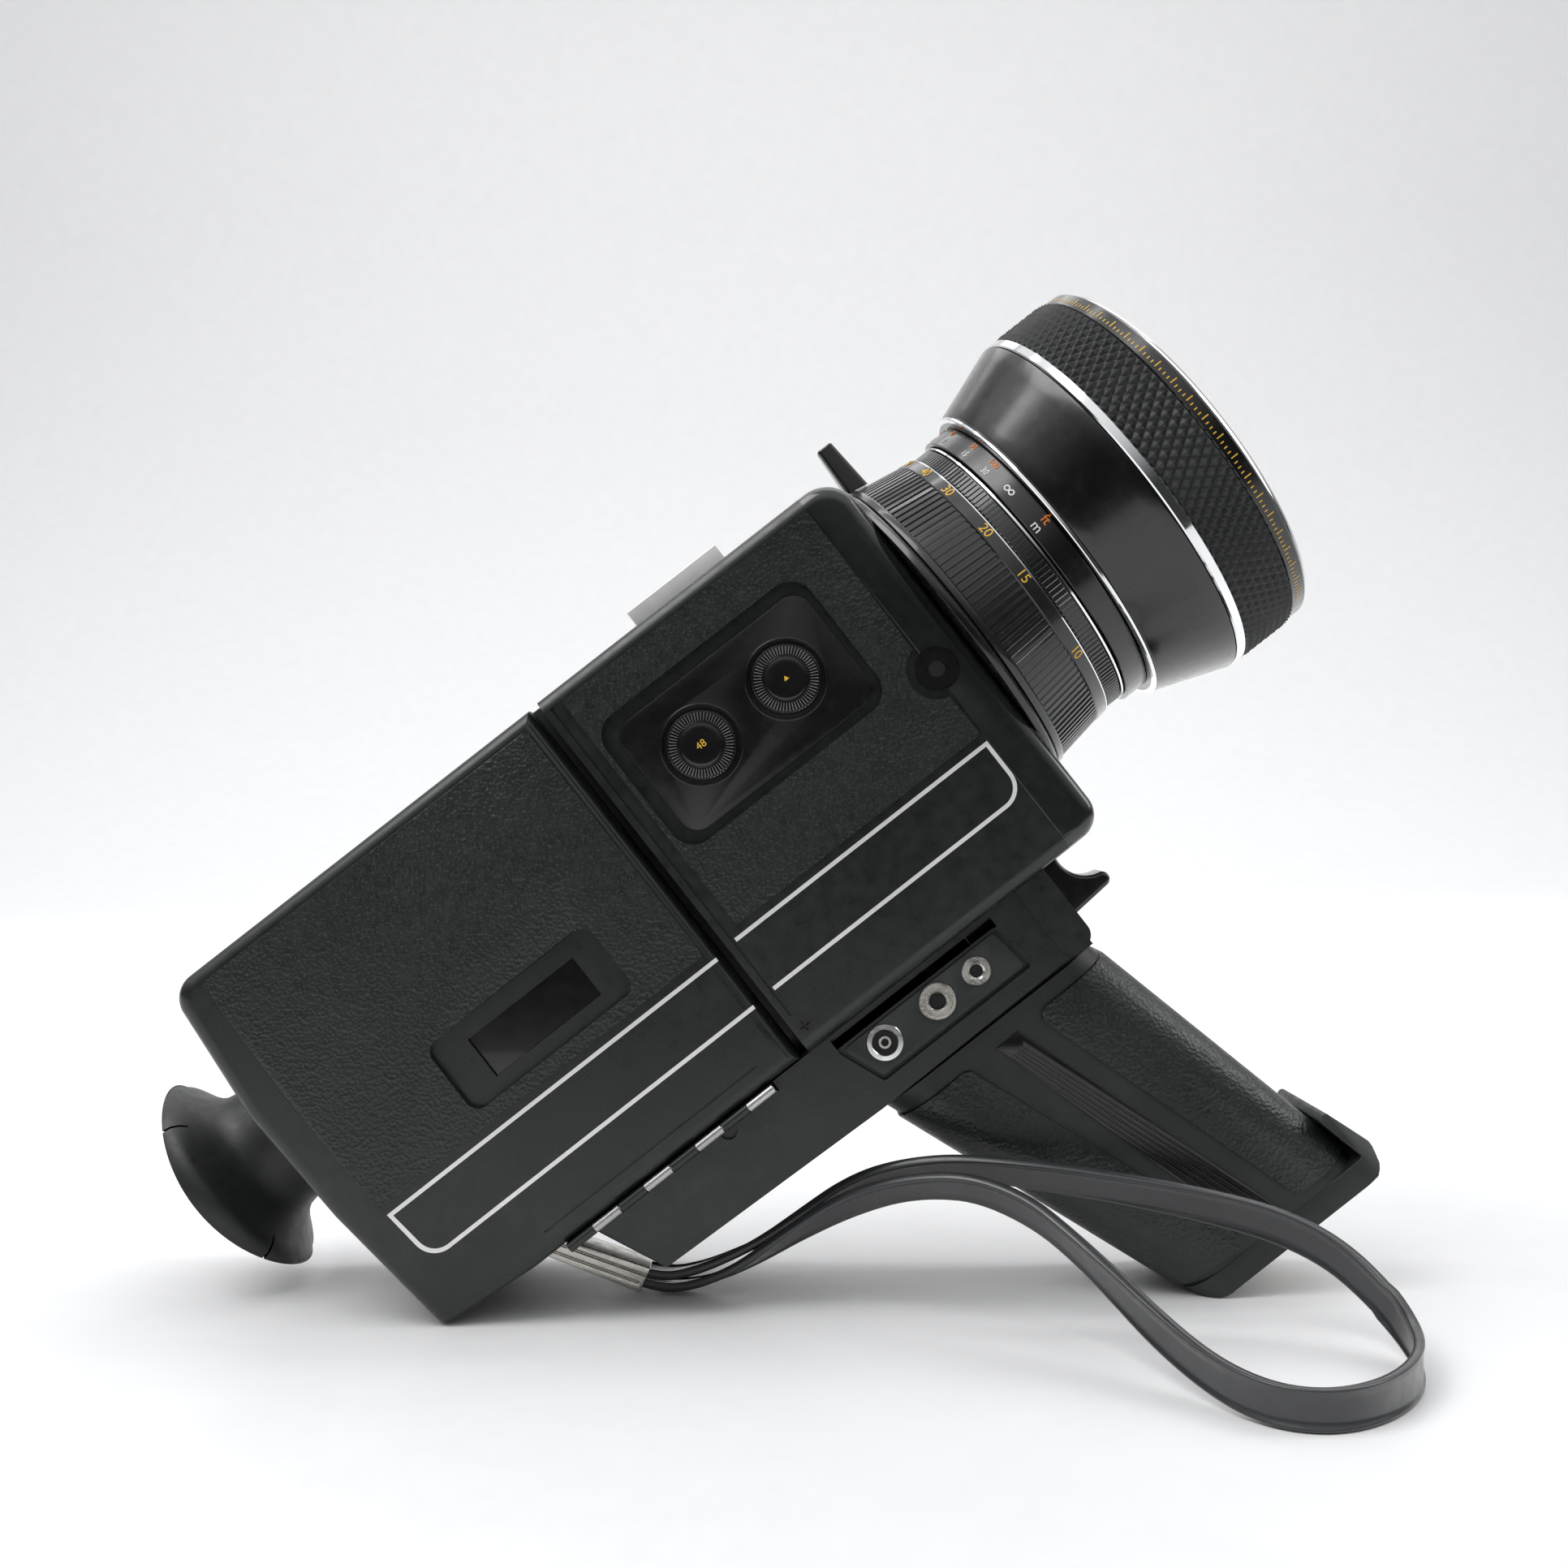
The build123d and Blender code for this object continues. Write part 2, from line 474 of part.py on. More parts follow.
BRACKET_Y, BRACKET_HALF = -3.0, 5.2
BRACKET_SIDE = [(-157.6, -53.4), (-151.9, -53.4), (-140.2, -71.4), (-145.5, -74.2)]
BRACKET_SLOT = [(-143.4, -67.5), (-139.7, -73.4), (-143.8, -75.6), (-147.5, -69.6)]
with BuildPart() as strap_bracket:
    slab(BRACKET_SIDE, BRACKET_Y - BRACKET_HALF, BRACKET_Y + BRACKET_HALF)
    slab(BRACKET_SLOT, BRACKET_Y - 4.3, BRACKET_Y + 4.3, 0, Mode.SUBTRACT)
    for offset in (1.9, 4.2):                                     # lengthwise pressed lines
        slab([(-157.4 + offset, -54.6), (-156.9 + offset, -54.6), (-145.9 + offset, -72.2),
              (-146.4 + offset, -72.2)], BRACKET_Y - BRACKET_HALF - 1, BRACKET_Y - BRACKET_HALF + 0.3,
             0, Mode.SUBTRACT)
keep(strap_bracket, "strap_bracket")

# ---------------------------------------------------------------- trigger
TRIGGER_HALF = 5.5
with BuildPart() as trigger:
    with BuildSketch(side_plane(TRIGGER_HALF)) as profile:
        with BuildLine():
            top = Line((-39.0, -54.4), (-11.0, -54.4))
            face = ThreePointArc(top @ 1, (-10.2, -60.6), (-5.2, -64.0))
            tip = ThreePointArc(face @ 1, (-4.2, -66.0), (-6.0, -67.4))
            sole = Line(tip @ 1, (-16.0, -68.2))
            Polyline(sole @ 1, (-39.0, -68.2), (-39.0, -54.4))
        make_face()
    extrude(amount=2 * TRIGGER_HALF)
    front_edges = trigger.edges().filter_by(
        lambda e: e.center().sub(at(-9, -61)).dot(AHEAD) > -4 and abs(e.center().Y) > 5)
    fillet(front_edges, 1.0)
keep(trigger, "trigger")

with BuildPart() as trigger_spring:
    coil = Helix(pitch=2.0, height=7.6, radius=2.6, center=at(-47.2, -61.5), direction=AHEAD)
    wire_start = Plane(origin=coil @ 0, z_dir=coil % 0)
    with BuildSketch(wire_start):
        Circle(0.35)
    sweep(path=coil, is_frenet=True)
keep(trigger_spring, "trigger_spring")

# ================================================================ pistol grip
GRIP_REAR = [(-76.0, GRIP_TOP), (-48.5, GRIP_FOOT)]
GRIP_FRONT = [(-18.2, GRIP_TOP), (-1.1, GRIP_FOOT)]


def grip_form(grow, top=GRIP_TOP, foot=GRIP_FOOT):
    """The grip as a solid bar with rounded front and back, grown by the given amount."""
    slope = [(b[0] - a[0]) / (b[1] - a[1]) for a, b in (GRIP_REAR, GRIP_FRONT)]
    corners = [(GRIP_REAR[0][0] - grow + slope[0] * (top - GRIP_TOP), top),
               (GRIP_FRONT[0][0] + grow + slope[1] * (top - GRIP_TOP), top),
               (GRIP_FRONT[0][0] + grow + slope[1] * (foot - GRIP_TOP), foot),
               (GRIP_REAR[0][0] - grow + slope[0] * (foot - GRIP_TOP), foot)]
    with BuildPart(mode=Mode.PRIVATE) as form:
        slab(corners, -GRIP_HALF - grow, GRIP_HALF + grow)
        up_the_grip = form.edges().filter_by(
            lambda e: abs(e.tangent_at(0.5).dot(UPWARD)) > 0.9)
        fillet(up_the_grip, GRIP_EDGE_R + grow)
    return form.part


for name, side in (("grip_shell_right", -1), ("grip_shell_left", 1)):
    with BuildPart() as shell:
        add(grip_form(0))
        add(grip_form(-WALL, GRIP_TOP + 1, GRIP_FOOT - 1), mode=Mode.SUBTRACT)
        split(bisect_by=Plane(origin=at(0, 0, side * 0.02), z_dir=(0, side, 0)), keep=Keep.TOP)
    keep(shell, name)

REAR_PANEL = [(-90, -78.3), (-56.4, -78.3), (-31.0, -146.2), (-60, -146.2)]
FRONT_PANEL = [(-37.6, -78.0), (5, -77.0), (5, -144.8), (-16.4, -144.8)]
with BuildPart() as leather_panels:
    slab(REAR_PANEL, -25, 25, 2.5)
    slab(FRONT_PANEL, -25, 25, 2.5)
with BuildPart() as grip_leather:
    add(grip_form(SKIN))
    add(grip_form(0, GRIP_TOP + 1, GRIP_FOOT - 1), mode=Mode.SUBTRACT)
    add(leather_panels.part, mode=Mode.INTERSECT)
keep(grip_leather, "grip_leather")

RIB_STRIP = [(-48.6, -78.6), (-42.6, -78.6), (-20.8, -146.0), (-29.2, -146.0)]
with BuildPart() as grip_ribbed_strips:
    for y_near in (-GRIP_HALF - 0.5, GRIP_HALF):
        slab(RIB_STRIP, y_near, y_near + 0.5)
    for rib in range(5):
        top_u, foot_u = -47.4 + rib * 0.9, -28.6 + rib * 1.5
        for y_near in (-GRIP_HALF - 0.8, GRIP_HALF + 0.2):
            slab([(top_u, -82), (top_u + 0.5, -82), (foot_u + 0.5, -143), (foot_u, -143)],
                 y_near, y_near + 0.6, 0, Mode.SUBTRACT)
keep(grip_ribbed_strips, "grip_ribbed_strips")

BUSH_U = -20.0
with BuildPart() as sole_plan:
    with BuildSketch(top_plane(SOLE - 2)):
        with Locations((-22.1, 0)):
            RectangleRounded(52.9, 2 * GRIP_HALF, 8)
    extrude(amount=25)
with BuildPart() as grip_base:
    with BuildSketch(side_plane(GRIP_HALF)) as profile:
        with BuildLine():
            Polyline((-48.5, GRIP_FOOT), HEEL_CORNER, (2.0, SOLE), (4.3, -147.8), (-0.4, -134.4),
                     (-2.6, -135.4), (0.1, GRIP_FOOT + 0.1), (-1.2, GRIP_FOOT), close=True)
        make_face()
        fillet(profile.vertices().sort_by_distance(HEEL_CORNER)[0], HEEL_R)
        fillet(profile.vertices().sort_by_distance((2.0, SOLE))[0], 3.5)
        fillet(profile.vertices().sort_by_distance((4.3, -147.8))[0], 3.0)
        fillet(profile.vertices().sort_by_distance((-0.4, -134.4))[0], 0.9)
    extrude(amount=2 * GRIP_HALF)
    add(sole_plan.part, mode=Mode.INTERSECT)
    with BuildSketch(top_plane(SOLE)) as bush_seat:
        with Locations((BUSH_U, 0)):
            Circle(6.0)
    extrude(bush_seat.sketch, amount=8, mode=Mode.SUBTRACT)
keep(grip_base, "grip_base")

BUSH_HOLE_R = 3.0          # threaded hole for a 1/4 inch tripod screw, over its flanks
with BuildPart() as tripod_bush:
    with BuildSketch(top_plane(SOLE)) as bush_ring:
        with Locations((BUSH_U, 0)):
            Circle(6.0)
            Circle(BUSH_HOLE_R, mode=Mode.SUBTRACT)
    extrude(bush_ring.sketch, amount=7)
keep(tripod_bush, "tripod_bush")

CELL_R, CELL_LONG, CELL_PITCH = 7.1, 49.5, 15.2
GRIP_LEAN = atan2(24.0, 73.3)
with BuildPart() as batteries:
    for across in (-0.5, 0.5):
        for along in (-0.5, 0.5):
            middle = at(-41.5 + along * CELL_PITCH / cos(GRIP_LEAN), -87, across * CELL_PITCH)
            down = AHEAD * sin(GRIP_LEAN) - UPWARD * cos(GRIP_LEAN)
            with BuildSketch(Plane(origin=middle, z_dir=down)) as cell:
                Circle(CELL_R)
            extrude(cell.sketch, amount=CELL_LONG)
            with BuildSketch(Plane(origin=middle, z_dir=-down)) as button:
                Circle(2.7)
            extrude(button.sketch, amount=1.2)
keep(batteries, "batteries")

# ================================================================ lens
BORE = ZOOM_BORE
RUN = ZOOM_BORE + FIT
with BuildPart() as lens_mount_ring:
    turned([(0, SPIGOT_R), (2.0, SPIGOT_R), (2.0, 39.2), (1.4, 40.0), (0, 40.0)])
keep(lens_mount_ring, "lens_mount_ring")

with BuildPart() as lens_tube:
    turned([(-14.0, 19.0), (4.0, 19.0), (4.0, 27.5), (29.0, 27.5), (29.0, BORE), (23.4, BORE),
            (23.4, 35.9), (22.8, 35.9), (22.8, 35.7), (18.8, 35.7), (18.8, BORE), (2.0, BORE),
            (2.0, SPIGOT_R), (-14.0, SPIGOT_R)])
keep(lens_tube, "lens_tube")

with BuildPart() as zoom_ring:
    turned([(2.3, RUN), (18.5, RUN), (18.5, 36.0), (17.9, 36.4), (3.4, 38.9), (2.3, 38.9)])
keep(zoom_ring, "zoom_ring")

with BuildPart() as zoom_lever:
    with BuildSketch(top_plane(37.2)) as foot:
        with Locations((5.05, 0)):
            RectangleRounded(5.5, 7.0, 1.0)
    with BuildSketch(top_plane(50.9)) as tip:
        with Locations((5.05, 0)):
            RectangleRounded(4.0, 4.2, 0.9)
    loft([foot.sketch.face(), tip.sketch.face()])
    fillet(zoom_lever.faces().sort_by(Axis(at(0, 0), UPWARD))[-1].edges(), 0.5)
    turned([(0, 0), (10, 0), (10, 37.75), (3.4, 38.9), (0, 38.9)], mode=Mode.SUBTRACT)
keep(zoom_lever, "zoom_lever")

with BuildPart() as scale_ring:
    turned([(23.7, RUN), (29.2, RUN), (29.2, 36.8), (23.7, 36.8)])
keep(scale_ring, "scale_ring")

GRIP_RING = (50.0, 63.3)
with BuildPart() as focus_cone:
    turned([(29.2, 32.0), (30.2, 32.0), (47.5, 40.5), (66.0, 41.6), (66.0, 43.4), (63.3, 43.4),
            (50.0, 43.4), (47.5, 43.4), (47.5, 45.4), (46.9, 45.6), (31.0, 39.7), (30.2, 39.0),
            (30.2, 38.2), (29.2, 38.2)])
keep(focus_cone, "focus_cone")

with BuildPart() as focus_chrome_rings:
    turned([(29.3, 38.2), (30.2, 38.2), (30.2, 39.1), (29.5, 39.3), (29.3, 39.1)])
    turned([(47.5, 43.4), (50.0, 43.4), (50.0, 45.7), (47.5, 45.7)])
keep(focus_chrome_rings, "focus_chrome_rings")

with BuildPart() as focus_grip:
    turned([(GRIP_RING[0], 43.4), (GRIP_RING[1], 43.4), (GRIP_RING[1], 45.6), (GRIP_RING[0], 45.6)])
keep(focus_grip, "focus_grip")

with BuildPart() as name_ring:
    turned([(63.3, 43.4), (66.0, 43.4), (66.0, 38.0), (62.0, 36.6), (62.0, 35.6), (67.6, 38.6),
            (68.5, 42.0), (68.5, 43.4), (67.2, 44.2), (67.0, 45.2), (63.3, 45.3)])
keep(name_ring, "name_ring")


FACETS = 8                 # short cones to each curved glass face


def lens_element(u, radius, thick, bulge, v=0.0, y=0.0):
    """A biconvex glass element centred at u: inside a BuildPart."""
    sphere_r = (radius ** 2 + bulge ** 2) / (2 * bulge)
    steps = [radius * i / FACETS for i in range(FACETS + 1)]
    rise = [(r, (sphere_r ** 2 - r ** 2) ** 0.5 - (sphere_r - bulge)) for r in steps]
    back = [(u - thick / 2 - high, r) for r, high in reversed(rise)]
    front = [(u + thick / 2 + high, r) for r, high in rise]
    turned(back + front, v, y)


with BuildPart() as front_element:
    lens_element(57.6, 40.6, 2.0, 4.4)
keep(front_element, "front_element")

with BuildPart() as variator_lens:
    lens_element(15.5, 27.2, 3.0, 2.5)
keep(variator_lens, "variator_lens")

with BuildPart() as relay_lens_group:
    turned([(-14.0, 13.0), (-14.0, SPIGOT_R), (-15.5, SPIGOT_R), (-15.5, 16.0), (-29.0, 16.0),
            (-29.0, 13.0)])
    lens_element(-21.0, 12.95, 4.0, 1.6)
keep(relay_lens_group, "relay_lens_group")

# ================================================================ finder
with BuildPart() as prism_block:
    block(-45.0, -29.0, -8, 8, -8, 8)
keep(prism_block, "prism_block")

with BuildPart() as finder_tube:
    block(-46, -30, EYE_V - 7.4, EYE_V + 7.4, 8, EYE_Y + 7.5, 1)
    rod(-197, -46, 6.6, EYE_V, EYE_Y)
    rod(-198, -46.5, 5.4, EYE_V, EYE_Y, Mode.SUBTRACT)
    turned([(-197, 5.0), (-184.1, 5.0), (-184.1, 12.5), (-197, 12.5)], EYE_V, EYE_Y)
    rod(-198, -190, 10.0, EYE_V, EYE_Y, Mode.SUBTRACT)
    block(-44, -32, EYE_V - 5.4, EYE_V + 5.4, 7, EYE_Y + 5.5, 0, Mode.SUBTRACT)
    rod(-198, -180, 5.4, EYE_V, EYE_Y, Mode.SUBTRACT)
keep(finder_tube, "finder_tube")

with BuildPart() as eyepiece_lens:
    lens_element(-192.0, 9.95, 2.0, 1.4, EYE_V, EYE_Y)
keep(eyepiece_lens, "eyepiece_lens")

CUP_WIDE, CUP_RIM, CUP_WING = 25.9, -206.0, 4.6
with BuildPart() as eyecup:
    turned([(-188.0, 12.5), (-188.0, 15.0), (-199.0, 15.8), (-203.0, 19.4), (-205.6, 24.6),
            (-207.4, CUP_WIDE), (-212.0, CUP_WIDE), (-212.0, CUP_WIDE - 1.6),
            (-207.6, CUP_WIDE - 1.7), (-206.4, 22.6), (-203.8, 17.6), (-199.4, 13.6),
            (-197.1, 12.5)], EYE_V, EYE_Y)
    with BuildSketch(top_plane(-60)) as rim_cut:
        with BuildLine():
            ThreePointArc((CUP_RIM - CUP_WING - 0.9, EYE_Y - 27), (CUP_RIM - 0.9, EYE_Y),
                          (CUP_RIM - CUP_WING - 0.9, EYE_Y + 27))
            Polyline((CUP_RIM - CUP_WING - 0.9, EYE_Y + 27), (-230, EYE_Y + 27),
                     (-230, EYE_Y - 27), (CUP_RIM - CUP_WING - 0.9, EYE_Y - 27))
        make_face()
    extrude(rim_cut.sketch, amount=120, mode=Mode.SUBTRACT)
keep(eyecup, "eyecup")

# ================================================================ drive
with BuildPart() as mechanism_plate:
    block(-73.5, -71.5, -49.5, 39, -27.0, 27.0)
    block(-75, -70, -8.5, 8.5, -8.0, 7.4, 0, Mode.SUBTRACT)
    rod(-75, -70, 2.0 + FIT, SHAFT_V, SHAFT_Y, Mode.SUBTRACT)
    rod(-75, -70, 6.7, EYE_V, EYE_Y, Mode.SUBTRACT)
    block(-72, -22, -49.9, -48.3, -4, 20)                        # foot under the motor
    block(-36, -34, -49.9, MOTOR_V, -4, 22)                      # cradle of the motor
    rod(-40, -30, 10.9, MOTOR_V, MOTOR_Y, Mode.SUBTRACT)
keep(mechanism_plate, "mechanism_plate")

with BuildPart() as shutter:
    with BuildSketch(cross_plane(-77.5, SHAFT_V, SHAFT_Y)) as blade:
        Circle(20)
        with BuildLine():
            start = Polyline((19 * 0.94, -19 * 0.34), (0, 0), (-19 * 0.94, -19 * 0.34))
            Polyline(start @ 1, (-30, -30), (30, -30), start @ 0)
        make_face(mode=Mode.SUBTRACT)
        Circle(5)
    extrude(blade.sketch, amount=0.5)
    rod(-80.5, -54.0, 2.0, SHAFT_V, SHAFT_Y)
    rod(-60.0, -56.0, SHUTTER_PULLEY_R, SHAFT_V, SHAFT_Y)
keep(shutter, "shutter")

with BuildPart() as motor:
    rod(-52.0, -22.0, 10.9, MOTOR_V, MOTOR_Y)
    rod(-54.0, -52.0, 3.5, MOTOR_V, MOTOR_Y)
    rod(-55.0, -40.0, 1.0 + FIT, MOTOR_V, MOTOR_Y, Mode.SUBTRACT)
keep(motor, "motor")

with BuildPart() as motor_pulley:
    rod(-60.0, -45.0, 1.0, MOTOR_V, MOTOR_Y)
    rod(-60.0, -56.0, MOTOR_PULLEY_R, MOTOR_V, MOTOR_Y)
keep(motor_pulley, "motor_pulley")

with BuildPart() as drive_belt:
    loops = []
    for thick in (1.1, FIT):
        with BuildSketch(cross_plane(-59.3)) as loop:
            with Locations((SHAFT_Y, SHAFT_V)):
                Circle(SHUTTER_PULLEY_R + thick)
            with Locations((MOTOR_Y, MOTOR_V)):
                Circle(MOTOR_PULLEY_R + thick)
            make_hull()
        loops.append(loop.sketch)
    extrude(loops[0], amount=2.6)
    extrude(loops[1], amount=2.6, mode=Mode.SUBTRACT)
keep(drive_belt, "drive_belt")

with BuildPart() as circuit_board:
    block(-68, -14, 14, 37, 24.0, 25.6)
    for chip_u, chip_v, long, high in ((-56, 28, 14, 6), (-36, 30, 8, 8), (-24, 20, 6, 4)):
        block(chip_u - long / 2, chip_u + long / 2, chip_v - high / 2, chip_v + high / 2, 21.6, 24)
    for can_u in (-60, -47, -30):
        pin(can_u, 18, 16.0, 24.0, 2.6)
    for post_u in (-66, -16):
        pin(post_u, 35, 25.6, HALF_WIDTH - WALL, 1.6)
        pin(post_u, 16, 25.6, HALF_WIDTH - WALL, 1.6)
keep(circuit_board, "circuit_board")

# ================================================================ wrist strap
# One flat strap, both ends in the bracket: out over the table in front of the grip, round a
# turn on its edge, and back.  Row coordinates in mm.
STRAP_R = 1.05
STRAP_ROUTE = [
    (-29.6, -3.0, 6.3), (-22.0, -3.4, 3.8), (-14.0, -5.0, 5.4), (-5.6, -7.0, 9.0),
    (2.6, -9.5, 13.3), (11.7, -13.0, 19.4), (20.7, -17.0, 25.6), (29.4, -21.0, 29.6),
    (38.1, -24.0, 31.3), (46.5, -27.0, 31.6), (63.2, -32.5, 30.2), (79.6, -36.5, 28.0),
    (95.0, -40.5, 25.2), (108.0, -45.0, 22.0), (117.5, -50.5, 17.4), (124.2, -59.0, 10.6),
    (126.6, -69.5, 5.4), (124.4, -80.5, 4.2), (118.6, -92.0, 4.0), (110.4, -101.5, 4.0),
    (101.0, -106.6, 4.0), (92.6, -104.6, 4.0), (86.4, -97.2, 4.6), (81.2, -87.0, 6.4),
    (75.6, -75.5, 10.2), (69.9, -65.0, 15.4), (63.5, -54.8, 21.0), (56.2, -45.6, 26.2),
    (46.0, -37.4, 29.4), (36.6, -31.2, 28.8), (27.2, -25.8, 26.4), (17.8, -20.6, 22.0),
    (8.4, -15.6, 15.8), (-1.0, -11.2, 8.8), (-7.6, -8.6, 5.0), (-14.4, -6.2, 2.3),
    (-22.2, -3.8, 1.4), (-30.7, -3.0, 4.4)]


def bend_radii(route):
    """The largest arcs that fit: 0.45 of the shorter run over the tangent of half the turn."""
    points = [Vector(*p) for p in route]
    radii = []
    for before, corner, after in zip(points, points[1:], points[2:]):
        into, out = corner - before, after - corner
        turn = radians(into.get_angle(out))
        radii.append(0.45 * min(into.length, out.length) / tan(turn / 2))
    return radii


STRAP_RADII = bend_radii(STRAP_ROUTE)
with BuildPart() as strap:
    with BuildLine():
        strap_path = FilletPolyline(*STRAP_ROUTE, radius=STRAP_RADII)
    with BuildSketch(Plane(origin=strap_path @ 0, z_dir=strap_path % 0)):
        Circle(STRAP_R)
    sweep(path=strap_path)
keep(strap, "strap")

print("tilt", round(degrees(TILT), 3), "axis height", round(AXIS_HEIGHT, 3))
print("strap radii", [round(r, 1) for r in STRAP_RADII])
print("strap length", round(strap_path.length, 1),
      "volume over section", round(strap.part.volume / (pi * STRAP_R ** 2), 1))
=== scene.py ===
"""Looks of a vintage Super 8 cine camera resting nose up on a pale table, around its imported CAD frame."""
import bmesh
import bpy
import json
from math import cos, sin, pi, radians, sqrt
from mathutils import Matrix, Vector

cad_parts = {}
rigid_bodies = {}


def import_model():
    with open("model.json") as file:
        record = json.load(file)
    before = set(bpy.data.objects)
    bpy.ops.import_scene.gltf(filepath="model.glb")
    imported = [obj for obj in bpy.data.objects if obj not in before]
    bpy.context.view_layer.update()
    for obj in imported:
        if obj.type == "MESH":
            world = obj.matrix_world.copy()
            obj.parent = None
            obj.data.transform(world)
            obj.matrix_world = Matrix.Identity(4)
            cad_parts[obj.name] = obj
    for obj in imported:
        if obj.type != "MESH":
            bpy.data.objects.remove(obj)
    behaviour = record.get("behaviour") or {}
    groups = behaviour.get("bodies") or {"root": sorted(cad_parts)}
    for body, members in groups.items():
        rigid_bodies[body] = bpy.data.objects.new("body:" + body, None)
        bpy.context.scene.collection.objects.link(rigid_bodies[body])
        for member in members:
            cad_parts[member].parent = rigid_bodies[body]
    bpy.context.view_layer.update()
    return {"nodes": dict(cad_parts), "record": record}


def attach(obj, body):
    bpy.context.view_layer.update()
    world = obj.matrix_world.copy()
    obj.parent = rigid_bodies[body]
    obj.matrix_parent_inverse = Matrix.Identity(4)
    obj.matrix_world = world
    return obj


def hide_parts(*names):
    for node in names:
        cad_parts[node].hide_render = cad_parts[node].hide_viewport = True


for o in list(bpy.data.objects):
    bpy.data.objects.remove(o)
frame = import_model()
NODES = frame["nodes"]
scene = bpy.context.scene

# ------------------------------------------------------------------ the camera's level frame, in mm
TILT = radians(37.161)                     # how far the lens axis rises
MOUTH = Vector((44.09, 0.0, 147.973))      # where the lens axis leaves the body
AHEAD = Vector((cos(TILT), 0, sin(TILT)))
UPWARD = Vector((-sin(TILT), 0, cos(TILT)))


def at(u, y, v):
    """A point of the level frame, in the row frame in metres: u ahead, y to the closed side, v up."""
    return (MOUTH + AHEAD * u + UPWARD * v + Vector((0, y, 0))) / 1000


# ------------------------------------------------------------------ viewpoint
VIEW_AT = Vector((0.00352, -0.43722, 0.11301))
YAW, PITCH, ROLL = radians(-0.478), radians(0.230), radians(0.864)
view_data = bpy.data.cameras.new("viewpoint")
view_data.sensor_width = 36.0
view_data.lens = 43.79
view_data.clip_start = 0.01
viewpoint = bpy.data.objects.new("viewpoint", view_data)
turn = (Matrix.Rotation(YAW, 4, "Z") @ Matrix.Rotation(PITCH, 4, "X") @ Matrix.Rotation(ROLL, 4, "Y")
        @ Matrix.Rotation(radians(90), 4, "X"))
viewpoint.matrix_world = Matrix.Translation(VIEW_AT) @ turn
scene.collection.objects.link(viewpoint)
scene.camera = viewpoint
scene.render.resolution_x = scene.render.resolution_y = 1932


# ------------------------------------------------------------------ materials
def surface(name, color, rough, metallic=0.0, vary=0.25, worn=0.08, grain=None, coat=0.0,
            coat_rough=0.05, sheen=0.0, glass=0.0, streak=None, ior=1.5):
    """A procedural finish: mottled colour, uneven sheen, and a fine relief.

    grain is (kind, cells per metre, depth in metres); streak stretches the relief along x, y or z.
    """
    m = bpy.data.materials.new(name)
    m.use_nodes = True
    nodes, links = m.node_tree.nodes, m.node_tree.links
    shader = nodes["Principled BSDF"]
    coords = nodes.new("ShaderNodeTexCoord")

    def noise(scale, detail=4.0, stretch=None):
        mapping = nodes.new("ShaderNodeMapping")
        mapping.inputs["Rotation"].default_value = (0, TILT, 0)
        if stretch:
            mapping.inputs["Scale"].default_value = stretch
        links.new(coords.outputs["Object"], mapping.inputs["Vector"])
        n = nodes.new("ShaderNodeTexNoise")
        n.inputs["Scale"].default_value = scale
        n.inputs["Detail"].default_value = detail
        links.new(mapping.outputs["Vector"], n.inputs["Vector"])
        return n.outputs["Fac"]

    def ranged(value, low, high):
        r = nodes.new("ShaderNodeMapRange")
        r.inputs["From Min"].default_value = 0.3
        r.inputs["From Max"].default_value = 0.7
        r.inputs["To Min"].default_value = low
        r.inputs["To Max"].default_value = high
        links.new(value, r.inputs["Value"])
        return r.outputs["Result"]

    mix = nodes.new("ShaderNodeMix")
    mix.data_type = "RGBA"
    mix.inputs["A"].default_value = (*[c * (1 - vary) for c in color], 1)
    mix.inputs["B"].default_value = (*[min(1.0, c * (1 + vary)) for c in color], 1)
    links.new(ranged(noise(55.0), 0.0, 1.0), mix.inputs["Factor"])
    links.new(mix.outputs["Result"], shader.inputs["Base Color"])
    links.new(ranged(noise(320.0, 6.0, streak), max(0.0, rough - worn), min(1.0, rough + worn)),
              shader.inputs["Roughness"])
    shader.inputs["Metallic"].default_value = metallic
    shader.inputs["IOR"].default_value = ior
    shader.inputs["Coat Weight"].default_value = coat
    shader.inputs["Coat Roughness"].default_value = coat_rough
    shader.inputs["Sheen Weight"].default_value = sheen
    shader.inputs["Transmission Weight"].default_value = glass
    if grain:
        kind, cells, depth = grain
        if kind == "noise":
            relief = noise(cells, 5.0, streak)
        else:
            cell = nodes.new("ShaderNodeTexVoronoi")
            cell.feature = "SMOOTH_F1"
            cell.inputs["Scale"].default_value = cells
            cell.inputs["Smoothness"].default_value = 0.6
            links.new(coords.outputs["Object"], cell.inputs["Vector"])
            add = nodes.new("ShaderNodeMath")
            add.operation = "MULTIPLY_ADD"
            links.new(noise(cells * 0.45, 3.0), add.inputs[0])
            add.inputs[1].default_value = 0.9
            links.new(cell.outputs["Distance"], add.inputs[2])
            relief = add.outputs["Value"]
        bump = nodes.new("ShaderNodeBump")
        bump.inputs["Distance"].default_value = depth
        bump.inputs["Strength"].default_value = 1.0
        links.new(relief, bump.inputs["Height"])
        links.new(bump.outputs["Normal"], shader.inputs["Normal"])
    return m


